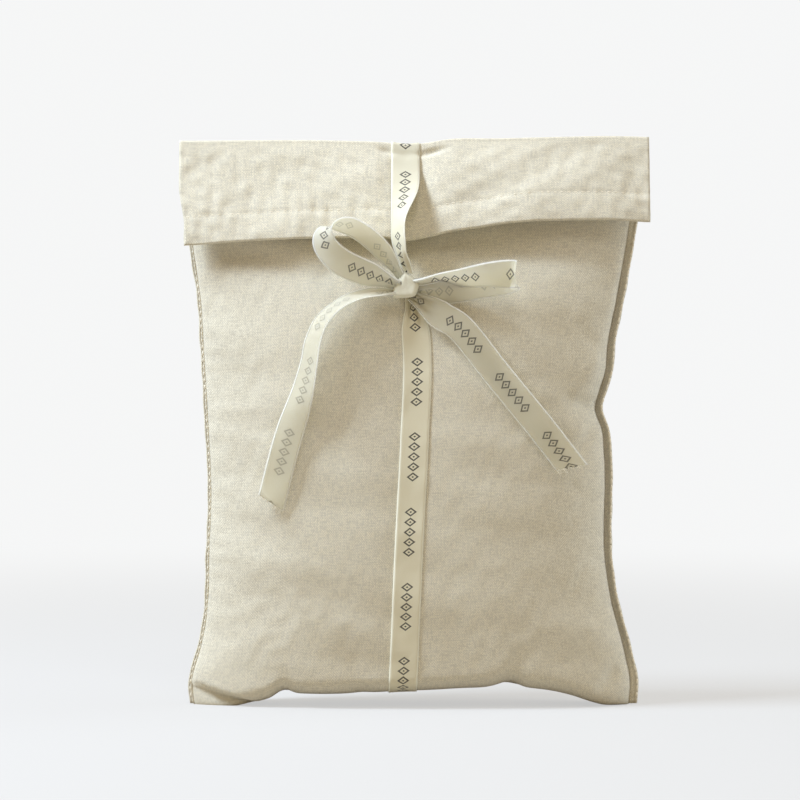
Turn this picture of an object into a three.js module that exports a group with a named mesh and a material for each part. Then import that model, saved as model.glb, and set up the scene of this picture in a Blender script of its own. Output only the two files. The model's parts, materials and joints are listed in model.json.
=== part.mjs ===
// Envelope pouch of unbleached canvas, with a fold-over flap, tied shut with a flat woven tape.
// Millimetres, +Z up, front towards -Y. Front and back panel meet in the seam plane, y = 0 of the pouch.
import * as THREE from "three";

// Cloth, tape and the clearance between pieces that touch
const CLOTH = 1.0;
const TAPE = 0.6;
const TAPE_WIDTH = 12;
const GAP = 0.3;

// Flat width of the pouch, heights of its top fold and of the mouth under the flap
const FLAT_WIDTH = 200;
const CREST_HEIGHT = 240;
const MOUTH_HEIGHT = 217.5;

// The seam plane stands this far behind the origin, which lies under the middle of the tied pouch
const SEAM_PLANE = 4.5;

// Side seams: width of the stitched edge, and how far the filled pouch draws each edge in at a height
const SEAM_WIDTH = 4;
const LEFT_DRAW_IN = [[0, 5], [9, 3.5], [30, 8.6], [85, 12], [150, 9], [193, 5], [CREST_HEIGHT, 0.5]];
const RIGHT_DRAW_IN = [
  [0, 5], [9, 4.4], [30, 9.4], [70, 15], [120, 17.5], [152, 14.5], [193, 7], [CREST_HEIGHT, 0.5],
];

// Belly of the filled pouch: how far each panel stands off the seam plane at a height
const FRONT_BELLY = [[8, 19], [50, 25], [95, 26], [140, 22.5], [178, 15], [196, 11], [MOUTH_HEIGHT, 7]];
const BACK_BELLY = [
  [8, 19], [50, 24], [95, 25], [140, 21.5], [178, 14.5], [196, 10], [MOUTH_HEIGHT, 5], [CREST_HEIGHT, 1.15],
];
const CROWN_FULLNESS = 2.6;
const CROWN_SHOULDER = 0.75;

// Bottom of the cloth: a trough that stands on two flat feet and arches up between them
const FOLD_RISE = 8;
const FOOT_SHARE = 0.55;
const ARCH_RISE = 5.5;
const LEFT_FOOT_END = -62;
const RIGHT_FOOT_END = 76;
const FOOT_TURN = 18;

// Flap: its depth at an x, deeper on the left, the reach of its lower edge, and its hem
const FLAP_DEPTH = [[-100, 44.7], [-57, 42.5], [-21, 41.2], [-4, 40.8], [23, 38.7], [45, 36.2], [100, 36]];
const FLAP_REACH_MIDDLE = 16.5;
const FLAP_REACH_CORNER = 9;
const FLAP_CONVEXITY = 0.25;
const HEM_DEPTH = 11;
const HEM_PLY = 1.2;
const MOUTH_HEM_SPAN = 0.9;

// Tape: its middle line up the front, and the width to which it gathers at the knot
const FRONT_TAPE_LINE = [[0, -5.2], [80, -1.7], [112, 0], [155, 0.9], [172, -1]];
const BACK_TAPE_LINE = [[0, -5.2], [CREST_HEIGHT, -3.4]];
const FLAP_TAPE_X = -3.4;
const GATHER_WIDTH = 6;
const GATHER_LENGTH = 15;
const TWIST_LENGTH = 8;
const TAPE_CREST_GAP = 0.8;

// Knot: its middle, in front of the belly, and half its width, depth and height
const KNOT_X = -3;
const KNOT_HEIGHT = 178;
const KNOT_HALF = [4.9, 4.2, 5.2];
const KNOT_ROUNDNESS = 0.75;

// Loops and tails: points [x, y, height] chosen by eye, y from the seam plane, and the way across the tape
const LEFT_LOOP = [
  [-7.4, -22.5, 183.2], [-16.6, -27, 196], [-27.5, -29, 203.4], [-36, -30, 202], [-37.4, -30.5, 196],
  [-31.5, -30.5, 189], [-21, -28, 183.6], [-8.9, -23.5, 179.2],
];
const LEFT_LOOP_ACROSS = [
  [-0.3, 0.8, -0.5], [-0.43, 0.56, -0.71], [-0.5, 0.6, -0.62], [-0.65, 0.7, -0.3], [-0.66, 0.7, -0.28],
  [-0.5, 0.62, -0.6], [-0.4, 0.6, -0.7], [-0.3, 0.8, -0.5],
];
const RIGHT_LOOP = [
  [1.95, -22, 180.4], [12, -23.5, 182.6], [25, -24.5, 184.4], [36, -24.5, 185.4], [41, -24.5, 182],
  [37, -24.2, 178], [26, -23.6, 176], [12, -22.6, 175], [2.05, -21.4, 176.4],
];
const RIGHT_LOOP_ACROSS = RIGHT_LOOP.map(() => [0, 0.866, -0.5]);
const LEFT_TAIL = [
  [-7.8, -21, 174.6], [-21, -24, 173], [-33, -27.5, 167.5], [-41, -29.5, 157.5], [-43.6, -29, 146],
  [-47.6, -27.2, 131], [-53.5, -25.6, 110.5], [-59.5, -24.6, 87],
];
const LEFT_TAIL_ACROSS = [
  [-0.1, 0.6, 0.78], [-0.2, 0.5, 0.84], [-0.5, 0.35, 0.75], [-0.85, 0.2, 0.4], [-0.98, 0, 0.15],
  [-0.95, 0, 0.3], [-0.96, 0, 0.27], [-0.96, 0.1, 0.24],
];
const RIGHT_TAIL = [
  [0.1, -20.6, 172.7], [11, -22.6, 165.8], [20, -24, 159.6],
  [34, -24.6, 142], [52, -25, 120], [66, -22.6, 102],
];
const RIGHT_TAIL_ACROSS = RIGHT_TAIL.map(() => [-0.74, 0, -0.67]);

// Facets along and across the sheets
const PANEL_COLUMNS = 22;
const PANEL_ROWS = 22;
const ABOVE_MOUTH_ROWS = 3;
const FOLD_ROWS = 12;
const FLAP_ROWS = 8;
const HEM_ROWS = 2;
const TAPE_COLUMNS = 2;
const TAPE_ROWS = 20;
const FREE_ROWS = 6;
const BEND_ROWS = 28;
const SEAM_ROWS = 30;

const { clamp, lerp, smoothstep } = THREE.MathUtils;
const EDGE = CLOTH + GAP / 2;

// A smooth curve through [place, value] pairs, read off at any place.
function through(pairs) {
  const slopes = pairs.map((_, i) => {
    const before = pairs[Math.max(i - 1, 0)];
    const after = pairs[Math.min(i + 1, pairs.length - 1)];
    return (after[1] - before[1]) / (after[0] - before[0]);
  });
  return (place) => {
    const above = pairs.findIndex(([at]) => at >= place);
    const i = clamp(above === -1 ? pairs.length : above, 1, pairs.length - 1);
    const [start, low] = pairs[i - 1];
    const [end, high] = pairs[i];
    const span = end - start;
    const t = clamp((place - start) / span, 0, 1);
    const ease = t * t * (3 - 2 * t);
    const leave = t * (1 - t) * (1 - t) * span * slopes[i - 1];
    const arrive = t * t * (1 - t) * span * slopes[i];
    return lerp(low, high, ease) + leave - arrive;
  };
}

const leftDrawIn = through(LEFT_DRAW_IN);
const rightDrawIn = through(RIGHT_DRAW_IN);
const frontBelly = through(FRONT_BELLY);
const backBelly = through(BACK_BELLY);
const frontTapeX = through(FRONT_TAPE_LINE);
const backTapeX = through(BACK_TAPE_LINE);
const flapDepth = through(FLAP_DEPTH);

const leftEdge = (z) => -FLAT_WIDTH / 2 + leftDrawIn(z);
const rightEdge = (z) => FLAT_WIDTH / 2 - rightDrawIn(z);

// Panels stop beside the stitched edges, but above the mouth the back panel has its full width.
const inset = (z) => (SEAM_WIDTH + GAP) * (1 - smoothstep(z, MOUTH_HEIGHT, MOUTH_HEIGHT + SEAM_WIDTH));
const xAcross = (z, s) => lerp(leftEdge(z) + inset(z), rightEdge(z) - inset(z), (s + 1) / 2);
const sAcross = (z, x) => {
  const left = leftEdge(z) + inset(z);
  const right = rightEdge(z) - inset(z);
  return clamp((2 * x - left - right) / (right - left), -1, 1);
};

// Cross-section of the filled pouch: 0 at the side edges, 1 in the middle.
const crown = (s) => Math.pow(1 - Math.pow(Math.abs(s), CROWN_FULLNESS), CROWN_SHOULDER);
const frontDepth = (z, s) => EDGE + (frontBelly(z) - EDGE) * crown(s);
const backDepth = (z, s) => EDGE + (backBelly(z) - EDGE) * crown(s);

// Height of the underside above the floor: flat at the feet, arched between them.
function underside(x) {
  const fromLeft = smoothstep(x, LEFT_FOOT_END, LEFT_FOOT_END + FOOT_TURN);
  const fromRight = smoothstep(-x, -RIGHT_FOOT_END, -RIGHT_FOOT_END + FOOT_TURN);
  return ARCH_RISE * fromLeft * fromRight;
}

// Closed solid between two skins, each a function of u across and v along, both from 0 to 1.
// The outer skin looks the way that the u direction crossed with the v direction points.
function between(outer, inner, columns, rows) {
  const positions = [];
  const index = [];
  for (const skin of [outer, inner]) {
    for (let j = 0; j <= rows; j++) {
      for (let i = 0; i <= columns; i++) {
        positions.push(...skin(i / columns, j / rows).toArray());
      }
    }
  }
  const at = (i, j, skin) => skin * (columns + 1) * (rows + 1) + j * (columns + 1) + i;
  const quad = (a, b, c, d) => index.push(a, b, c, a, c, d);
  for (let j = 0; j < rows; j++) {
    for (let i = 0; i < columns; i++) {
      quad(at(i, j, 0), at(i + 1, j, 0), at(i + 1, j + 1, 0), at(i, j + 1, 0));
      quad(at(i, j, 1), at(i, j + 1, 1), at(i + 1, j + 1, 1), at(i + 1, j, 1));
    }
  }
  for (let i = 0; i < columns; i++) {
    quad(at(i, 0, 0), at(i, 0, 1), at(i + 1, 0, 1), at(i + 1, 0, 0));
    quad(at(i, rows, 0), at(i + 1, rows, 0), at(i + 1, rows, 1), at(i, rows, 1));
  }
  for (let j = 0; j < rows; j++) {
    quad(at(0, j, 0), at(0, j + 1, 0), at(0, j + 1, 1), at(0, j, 1));
    quad(at(columns, j, 0), at(columns, j, 1), at(columns, j + 1, 1), at(columns, j + 1, 0));
  }
  const geometry = new THREE.BufferGeometry();
  geometry.setAttribute("position", new THREE.Float32BufferAttribute(positions, 3));
  geometry.setIndex(index);
  geometry.computeVertexNormals();
  return geometry;
}

// The same skin moved along its own normal.
function moved(skin, distance) {
  const STEP = 0.004;
  return (u, v) => {
    const u0 = Math.max(u - STEP, 0);
    const u1 = Math.min(u + STEP, 1);
    const v0 = Math.max(v - STEP, 0);
    const v1 = Math.min(v + STEP, 1);
    const alongU = skin(u1, v).sub(skin(u0, v));
    const alongV = skin(u, v1).sub(skin(u, v0));
    const normal = alongU.cross(alongV).normalize();
    return skin(u, v).addScaledVector(normal, distance);
  };
}

const sheet = (skin, low, high, columns, rows) => between(moved(skin, high), moved(skin, low), columns, rows);

const canvas = { color: 0xd9d0b8, roughness: 0.95, metalness: 0 };
const shadedCanvas = { color: 0xcfc5a9, roughness: 0.95, metalness: 0 };
const tape = { color: 0xe6dfc8, roughness: 0.7, metalness: 0 };

const pouch = new THREE.Group();
pouch.position.y = SEAM_PLANE;

function piece(name, geometry, look) {
  const mesh = new THREE.Mesh(geometry, new THREE.MeshStandardMaterial(look));
  mesh.name = name;
  pouch.add(mesh);
  return mesh;
}

// Columns crowd towards the side edges, where the panels turn fastest.
const spread = (u) => Math.sin((u - 0.5) * Math.PI);

function frontSkin(u, v) {
  const s = spread(u);
  const low = underside(xAcross(FOLD_RISE, s)) + FOLD_RISE + GAP;
  const z = lerp(low, MOUTH_HEIGHT, v);
  return new THREE.Vector3(xAcross(z, s), -frontDepth(z, s), z);
}

// A row of the back panel lies level with the mouth, where its edges step out.
function backSkin(u, v) {
  const s = -spread(u);
  const low = underside(xAcross(FOLD_RISE, s)) + FOLD_RISE + GAP;
  const mouth = 1 - ABOVE_MOUTH_ROWS / PANEL_ROWS;
  const below = lerp(low, MOUTH_HEIGHT, v / mouth);
  const above = lerp(MOUTH_HEIGHT, CREST_HEIGHT, (v - mouth) / (1 - mouth));
  const z = v <= mouth ? below : above;
  return new THREE.Vector3(xAcross(z, s), backDepth(z, s), z);
}

// Section of the trough: share of its half depth and of its rise, for v from back, 0, to front, 1.
function foldSection(v) {
  const out = 2 * v - 1;
  const flat = 1 / 3;
  const side = Math.sign(out);
  const reach = Math.abs(out);
  if (reach <= flat) return [side * (reach / flat) * FOOT_SHARE, 0];
  const turn = ((reach - flat) / (1 - flat)) * (Math.PI / 2);
  return [side * (FOOT_SHARE + (1 - FOOT_SHARE) * Math.sin(turn)), 1 - Math.cos(turn)];
}

// One skin of the trough, drawn in all round by the given thickness.
function foldSkin(thickness) {
  return (u, v) => {
    const s = spread(u);
    const [share, rise] = foldSection(v);
    const depth = (share < 0 ? backDepth(FOLD_RISE, s) : frontDepth(FOLD_RISE, s)) - thickness;
    const z = underside(xAcross(FOLD_RISE, s)) + thickness + (FOLD_RISE - thickness) * rise;
    return new THREE.Vector3(xAcross(z, s), -share * depth, z);
  };
}

function sideSeam(edge, inward) {
  const skin = (y) => (u, v) => {
    const z = v * (MOUTH_HEIGHT - GAP);
    const across = inward > 0 ? u : 1 - u;
    return new THREE.Vector3(edge(z) + inward * across * SEAM_WIDTH, y, z);
  };
  return between(skin(-CLOTH), skin(CLOTH), 1, SEAM_ROWS);
}

// Flap at x, with drop from 0 at the top fold to 1 at its lower edge.
function flapPoint(x, drop) {
  const s = x / (FLAT_WIDTH / 2);
  const reach = lerp(FLAP_REACH_MIDDLE, FLAP_REACH_CORNER, s * s);
  const bow = (1 + FLAP_CONVEXITY) * drop - FLAP_CONVEXITY * drop * drop;
  return new THREE.Vector3(x, -EDGE - reach * bow, CREST_HEIGHT - drop * flapDepth(x));
}

const flapX = (u) => lerp(leftEdge(CREST_HEIGHT), rightEdge(CREST_HEIGHT), u);
const flapSkin = (u, v) => flapPoint(flapX(u), 1 - v);
function hemSkin(u, v) {
  const x = flapX(u);
  return flapPoint(x, 1 - (v * HEM_DEPTH) / flapDepth(x));
}

function mouthHemSkin(u, v) {
  const s = MOUTH_HEM_SPAN * spread(u);
  const z = lerp(MOUTH_HEIGHT - HEM_DEPTH, MOUTH_HEIGHT, v);
  return new THREE.Vector3(xAcross(z, s), -frontDepth(z, s), z);
}

// The turned ply of a hem lies behind its cloth.
function turnedHem(skin) {
  const front = -CLOTH - GAP;
  return sheet(skin, front - HEM_PLY, front, PANEL_COLUMNS, HEM_ROWS);
}

// Tape held against the cloth: its width at a distance from the knot, and its runs on each panel.
const gather = (distance) => lerp(GATHER_WIDTH, TAPE_WIDTH, smoothstep(distance, 0, GATHER_LENGTH));
const frontRunTop = KNOT_HEIGHT - KNOT_HALF[2] - GAP;

function frontRunSkin(u, v) {
  const low = underside(frontTapeX(0)) + FOLD_RISE + GAP;
  const z = lerp(low, frontRunTop, v);
  const x = frontTapeX(z) + (u - 0.5) * gather(frontRunTop - z);
  return new THREE.Vector3(x, -frontDepth(z, sAcross(z, x)), z);
}

function underRunSkin(u, v) {
  const x = frontTapeX(0) + (u - 0.5) * TAPE_WIDTH;
  const s = sAcross(FOLD_RISE, x);
  return foldSkin(0)(Math.asin(s) / Math.PI + 0.5, v);
}

function backRunSkin(u, v) {
  const low = underside(backTapeX(0)) + FOLD_RISE + GAP;
  const z = lerp(low, CREST_HEIGHT - TAPE_CREST_GAP, v);
  const x = backTapeX(z) - (u - 0.5) * TAPE_WIDTH;
  return new THREE.Vector3(x, backDepth(z, sAcross(z, x)), z);
}

const knotY = -frontDepth(KNOT_HEIGHT, sAcross(KNOT_HEIGHT, KNOT_X)) - TAPE - 2 * GAP - KNOT_HALF[1];
const knotTop = new THREE.Vector3(KNOT_X, knotY - KNOT_HALF[1] / 2, KNOT_HEIGHT + KNOT_HALF[2] + GAP);

// The run over the flap leaves the knot at v = 0, meets the flap's lower edge and goes up to the fold.
function flapRunSkin(u, v) {
  const edge = flapPoint(FLAP_TAPE_X, 1);
  const length = edge.distanceTo(knotTop) + flapDepth(FLAP_TAPE_X);
  const aside = (u - 0.5) * gather(v * length - TWIST_LENGTH);
  if (v <= FREE_ROWS / TAPE_ROWS) {
    const middle = knotTop.clone().lerp(edge, (v * TAPE_ROWS) / FREE_ROWS);
    return middle.add(new THREE.Vector3(aside, 0, 0));
  }
  const topDrop = TAPE_CREST_GAP / flapDepth(FLAP_TAPE_X);
  const drop = lerp(1, topDrop, (v * TAPE_ROWS - FREE_ROWS) / (TAPE_ROWS - FREE_ROWS));
  return flapPoint(FLAP_TAPE_X + aside, drop);
}

function knotGeometry() {
  const geometry = new THREE.SphereGeometry(1, 16, 12);
  const place = geometry.getAttribute("position");
  const swell = (value) => Math.sign(value) * Math.pow(Math.abs(value), KNOT_ROUNDNESS);
  for (let i = 0; i < place.count; i++) {
    const x = KNOT_X + KNOT_HALF[0] * swell(place.getX(i));
    const y = knotY + KNOT_HALF[1] * swell(place.getY(i));
    const z = KNOT_HEIGHT + KNOT_HALF[2] * swell(place.getZ(i));
    place.setXYZ(i, x, y, z);
  }
  geometry.computeVertexNormals();
  return geometry;
}

// Free tape along a route, gathered where it leaves the knot and, on a loop, where it comes back.
function freeTape(route, across, endsAtKnot) {
  const points = route.map((p) => new THREE.Vector3(...p));
  const line = new THREE.CatmullRomCurve3(points, false, "centripetal");
  const sides = new THREE.CatmullRomCurve3(across.map((p) => new THREE.Vector3(...p)));
  const length = line.getLength();
  const skin = (u, v) => {
    const here = line.getPoint(v);
    const along = line.getTangent(v);
    const side = sides.getPoint(v);
    side.addScaledVector(along, -side.dot(along)).normalize();
    const fromKnot = endsAtKnot ? Math.min(v, 1 - v) : v;
    return here.addScaledVector(side, (u - 0.5) * gather(fromKnot * length));
  };
  return sheet(skin, -TAPE / 2, TAPE / 2, TAPE_COLUMNS, BEND_ROWS);
}

piece("front_panel", sheet(frontSkin, -CLOTH, 0, PANEL_COLUMNS, PANEL_ROWS), canvas);
piece("back_panel", sheet(backSkin, -CLOTH, 0, PANEL_COLUMNS, PANEL_ROWS), canvas);
piece("bottom_fold", between(foldSkin(0), foldSkin(CLOTH), PANEL_COLUMNS, FOLD_ROWS), shadedCanvas);
piece("left_side_seam", sideSeam(leftEdge, 1), shadedCanvas);
piece("right_side_seam", sideSeam(rightEdge, -1), shadedCanvas);
piece("front_mouth_hem", turnedHem(mouthHemSkin), shadedCanvas);
piece("flap_panel", sheet(flapSkin, -CLOTH, 0, PANEL_COLUMNS, FLAP_ROWS), canvas);
piece("flap_hem", turnedHem(hemSkin), shadedCanvas);
piece("tape_front_run", sheet(frontRunSkin, GAP, GAP + TAPE, TAPE_COLUMNS, TAPE_ROWS), tape);
piece("tape_under_run", sheet(underRunSkin, GAP, GAP + TAPE, TAPE_COLUMNS, FOLD_ROWS), tape);
piece("tape_back_run", sheet(backRunSkin, GAP, GAP + TAPE, TAPE_COLUMNS, TAPE_ROWS), tape);
piece("tape_flap_run", sheet(flapRunSkin, GAP, GAP + TAPE, TAPE_COLUMNS, TAPE_ROWS), tape);
piece("bow_knot", knotGeometry(), tape);
piece("left_loop", freeTape(LEFT_LOOP, LEFT_LOOP_ACROSS, true), tape);
piece("right_loop", freeTape(RIGHT_LOOP, RIGHT_LOOP_ACROSS, true), tape);
piece("left_tail", freeTape(LEFT_TAIL, LEFT_TAIL_ACROSS, false), tape);
piece("right_tail", freeTape(RIGHT_TAIL, RIGHT_TAIL_ACROSS, false), tape);

export default pouch;
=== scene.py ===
import json
import math
import random

import bpy
import numpy as np
from bpy.props import FloatProperty, FloatVectorProperty, PointerProperty
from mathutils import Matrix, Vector

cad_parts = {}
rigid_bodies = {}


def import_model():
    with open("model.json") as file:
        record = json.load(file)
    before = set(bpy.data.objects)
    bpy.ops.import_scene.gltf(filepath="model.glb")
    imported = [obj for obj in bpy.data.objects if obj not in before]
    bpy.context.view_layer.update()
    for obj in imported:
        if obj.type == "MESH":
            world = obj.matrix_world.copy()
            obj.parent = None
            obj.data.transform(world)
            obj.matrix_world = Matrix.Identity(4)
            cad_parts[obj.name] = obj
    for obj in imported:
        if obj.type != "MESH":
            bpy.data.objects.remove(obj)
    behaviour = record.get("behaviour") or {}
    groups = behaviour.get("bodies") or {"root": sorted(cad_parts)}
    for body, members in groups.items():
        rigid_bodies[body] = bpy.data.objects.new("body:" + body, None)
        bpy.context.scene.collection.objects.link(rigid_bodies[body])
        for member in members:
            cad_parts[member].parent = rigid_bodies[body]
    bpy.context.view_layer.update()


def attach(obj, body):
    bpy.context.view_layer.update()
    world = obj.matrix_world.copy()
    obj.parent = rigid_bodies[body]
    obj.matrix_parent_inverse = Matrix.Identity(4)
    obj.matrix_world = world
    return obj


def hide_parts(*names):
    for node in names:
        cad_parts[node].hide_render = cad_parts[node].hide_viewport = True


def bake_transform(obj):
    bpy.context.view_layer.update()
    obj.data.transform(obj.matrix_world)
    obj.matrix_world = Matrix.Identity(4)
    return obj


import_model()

bl_info = {
    "name": "Envelope Pouch",
    "version": (1, 0, 0),
    "blender": (4, 5, 0),
    "location": "View3D > Sidebar > Pouch",
    "description": "Builds a filled canvas envelope pouch tied with printed tape",
    "category": "Add Mesh",
}

MM = 0.001

# How far each side edge is drawn in from the flat width, as (height, amount) in millimetres.
LEFT_DRAW_IN = (
    (0, 4.4), (9, 3.5), (14, 4.4), (24, 7.4), (34, 9.5), (45, 10.7), (65, 11.2),
    (88, 12.1), (121, 10.8), (152, 9), (172, 7.8), (193, 4.8), (240, 0.5),
)
RIGHT_DRAW_IN = (
    (0, 5), (9, 4.4), (24, 7.3), (45, 12.9), (60, 15.2), (106, 15.8), (117, 16.8),
    (126, 19.7), (134, 17.8), (142, 15.4), (152, 14.6), (172, 10.8), (193, 7), (240, 0.5),
)

# Depth of the filling in front of and behind the seam plane, as (height, depth) in millimetres.
FRONT_BELLY = ((8, 19.8), (50, 24.4), (95, 25.7), (140, 23.4), (178, 15.7), (196, 11), (217.5, 7))
BACK_BELLY = (
    (8, 19), (50, 24), (95, 25), (140, 21.5), (178, 14.5), (196, 10), (217.5, 5), (240, 1.15),
)
LEFT_CROWN = (2.6, 0.75)
RIGHT_CROWN = (3.6, 0.6)

# Underside between its two feet, and height of the top fold, as (x, height) in millimetres.
UNDERSIDE = (
    (-100, 0), (-76, 0), (-71, 1), (-65.5, 2.2), (-61, 3.5), (-57.5, 5.3), (-54.8, 6), (-51, 5.3),
    (-44, 5), (-20, 5.5), (0, 6.2), (20, 7.4), (30, 7.8), (40, 9.2), (47, 7.7), (56, 6.6),
    (66, 4.6), (76, 1.6), (82, 0.2), (90, 0), (100, 0),
)
CREST = (
    (-100, 239.6), (-30, 239.6), (-12, 238.9), (-3, 237.8), (6, 238.9), (14, 240.2),
    (35, 240.6), (60, 241.2), (85, 241.6), (100, 241.2),
)

# Depth of the flap below the top fold, as (x, depth) in millimetres.
FLAP_DEPTH = (
    (-100, 43.6), (-57, 41.4), (-21, 40), (-4, 39.7), (10, 39),
    (23, 37.6), (36, 35.5), (48, 34.9), (100, 35.2),
)

# Line of the tape down the front, as (height, x) in millimetres.
FRONT_TAPE_LINE = ((0, -5.2), (80, -1.7), (112, 0), (155, 0.9), (172, -1))

# Outline of the knot round its middle, as (x, z) in millimetres.
KNOT_OUTLINE = (
    (-1.1, 6.4), (2, 4), (5, 1.4), (4.7, -1.6), (2.8, -4.4),
    (-2, -5), (-5.8, -4.7), (-5.9, -1.2), (-3.5, 3.4),
)

# Creases pressed into the cloth: from (x, z), to (x, z), width and depth in millimetres.
FRONT_CREASES = (
    ((82, 126), (66, 130), 3.2, 2.4),
    ((80, 125), (71, 111), 3, 1.3),
    ((88, 189), (80, 156), 2.6, -1.0),
    ((79, 155), (71, 133), 4.6, -1.9),
    ((66, 172), (58, 142), 8, 0.8),
    ((84, 61), (75, 64), 2.5, 0.9),
    ((80, 9), (88, 18), 3.2, 1.8),
    ((-55, 4), (-53, 13), 3.5, 0.9),
    ((-24, 12), (-22, 6), 4, 0.7),
    ((40, 6), (44, 21), 4.5, 1.5),
    ((-82, 193), (-38, 184), 5, 1.3),
    ((14, 196), (78, 188), 6, 1.6),
    ((-1, 172), (-5, 10), 9, 0.8),
    ((-72, 150), (-66, 96), 9, 0.7),
    ((-32, 136), (-20, 134), 22, 1.5),
    ((30, 96), (62, 62), 10, 0.5),
)
FLAP_CREASES = (
    ((-3.4, 241), (-3.4, 198), 7, 1.1),
    ((-9.5, 234.3), (-15.5, 237.4), 1.5, 1.5),
    ((2.5, 233.6), (13, 236.8), 1.6, 1.7),
    ((3, 237.4), (17, 239.2), 1.3, -0.6),
    ((4, 231), (7, 204), 2, 0.5),
    ((22, 214), (76, 238), 5, 0.9),
    ((-85.5, 219), (-85, 211), 1.5, 0.5),
    ((-62, 226), (-15, 231), 4, 0.4),
    ((91, 231), (97, 213), 3, 0.5),
)

# Routes of the free tape from the knot, and the direction across the tape at each of their points.
LEFT_LOOP = (
    (-5.4, -17.2, 181.4), (-16.2, -20.8, 195.4), (-27, -22, 203.2), (-35.6, -22.8, 202.2),
    (-37.4, -23.2, 196), (-31.5, -23.2, 189), (-21, -21.6, 183.6), (-6, -18, 178.4),
)
LEFT_LOOP_ACROSS = (
    (-0.3, 0.8, -0.5), (-0.36, 0.74, -0.56), (-0.42, 0.76, -0.5), (-0.7, 0.62, -0.32),
    (-0.75, 0.55, -0.35), (-0.58, 0.36, -0.73), (-0.48, 0.4, -0.78), (-0.3, 0.8, -0.5),
)
RIGHT_LOOP = (
    (-0.6, -17.8, 179.4), (9, -20, 180.4), (20, -21.6, 181.4), (32, -22.4, 182.6), (39.6, -21.8, 183),
    (41.6, -20, 182.4), (38, -18, 180.4), (26, -17, 178), (12, -16.8, 175.8), (-0.6, -16.9, 176.6),
)
RIGHT_LOOP_ACROSS = (
    (0, 0.9, -0.42), (0, 0.86, -0.5), (0, 0.76, -0.64), (0, 0.48, -0.88), (0, 0.16, -0.98),
    (0, 0.1, -0.99), (0, 0.1, -0.99), (0, 0.3, -0.95), (0, 0.5, -0.86), (0, 0.8, -0.6),
)
LEFT_TAIL = (
    (-5.8, -16.5, 175.4), (-20, -20, 174.8), (-31, -22.4, 171), (-38.8, -23.4, 163.8), (-42.2, -23.2, 155),
    (-43.6, -22.9, 146), (-46.6, -22, 134), (-53, -19.6, 114), (-60, -17.4, 87.2),
)
LEFT_TAIL_ACROSS = (
    (-0.05, 0.92, 0.38), (-0.06, 0.94, 0.3), (-0.18, 0.93, 0.3), (-0.42, 0.88, 0.24),
    (-0.56, 0.82, 0.08), (-0.6, 0.79, 0.06), (-0.76, 0.63, 0.16), (-0.95, 0.2, 0.25), (-0.96, 0.1, 0.24),
)
RIGHT_TAIL = (
    (-1.2, -16.4, 174.4), (11, -18.6, 165.8), (20, -20, 159.6), (34, -20.4, 142),
    (52, -20.2, 120), (66, -17.8, 102),
)
RIGHT_TAIL_ACROSS = ((-0.74, 0, -0.67), (-0.74, 0, -0.67))

# The loops: node, route, directions across it, and where the print starts in metres. A tail also has
# whether its print faces the other way, and the slant of its cut in metres.
LOOPS = (
    ("left_loop", LEFT_LOOP, LEFT_LOOP_ACROSS, 0.002),
    ("right_loop", RIGHT_LOOP, RIGHT_LOOP_ACROSS, 0.024),
)
TAILS = (
    ("left_tail", LEFT_TAIL, LEFT_TAIL_ACROSS, 0.01, False, -0.004),
    ("right_tail", RIGHT_TAIL, RIGHT_TAIL_ACROSS, 0.014, True, -0.006),
)

# Counts of rows, columns and sides in the modelled grids.
BODY_COLUMNS = 120
FRONT_ROWS = 120
FOLD_ROWS = 28
BACK_ROWS = 90
BOTTOM_ROW = FRONT_ROWS + FOLD_ROWS // 2
HEM_INSET_COLUMNS = 6
SEAM_ROWS = 150
SEAM_POINTS = 29
FLAP_COLUMNS = 180
FLAP_BACK_ROWS = 10
FLAP_ROLL_ROWS = 8
FLAP_FIRST_FRONT = FLAP_BACK_ROWS + FLAP_ROLL_ROWS
FLAP_FRONT_ROWS = 56
FLAP_LIP_ROWS = 8
FLAP_HEM_ROWS = 12
TAPE_COLUMNS = 10
TAPE_FREE_ROWS = 30
LOOP_ROWS = 120
TAIL_ROWS = 110
KNOT_ROWS = 31
KNOT_POINTS = 96
STITCH_SIDES = 6
FRAY_THREADS = 16
FRAY_STEPS = 5
FRAY_SIDES = 5

# The simulated cloth, 3 % too large for its place, of which a share of the fine wrinkles is kept.
SIM_STEP = 2
SIM_FRAMES = 24
SIM_BLUR = 60
SIM_LIMIT = 0.0025
SIM_SHARE = 0.18
SIM_HELD_BELOW = 0.012
SIM_RISES = (0.008, 0.03)
SIM_FADES = (0.17, 0.2)
SIM_CLOTH = {
    "quality": 6,
    "mass": 0.2,
    "tension_stiffness": 25,
    "compression_stiffness": 25,
    "shear_stiffness": 8,
    "bending_stiffness": 0.15,
    "shrink_min": -0.03,
    "use_pressure": True,
    "uniform_pressure_force": 3,
    "vertex_group_mass": "held",
}
SEED = 7

# Waves of the cloth: the shortest and the longest in metres, and how many there are.
BODY_WAVES = (0.02, 0.05, 9)
BODY_FINE_WAVES = (0.006, 0.018, 16)
FLAP_WAVES = (0.025, 0.06, 7)
FLAP_FINE_WAVES = (0.005, 0.017, 18)
SEAM_WAVES = (0.006, 0.02, 5)

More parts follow.
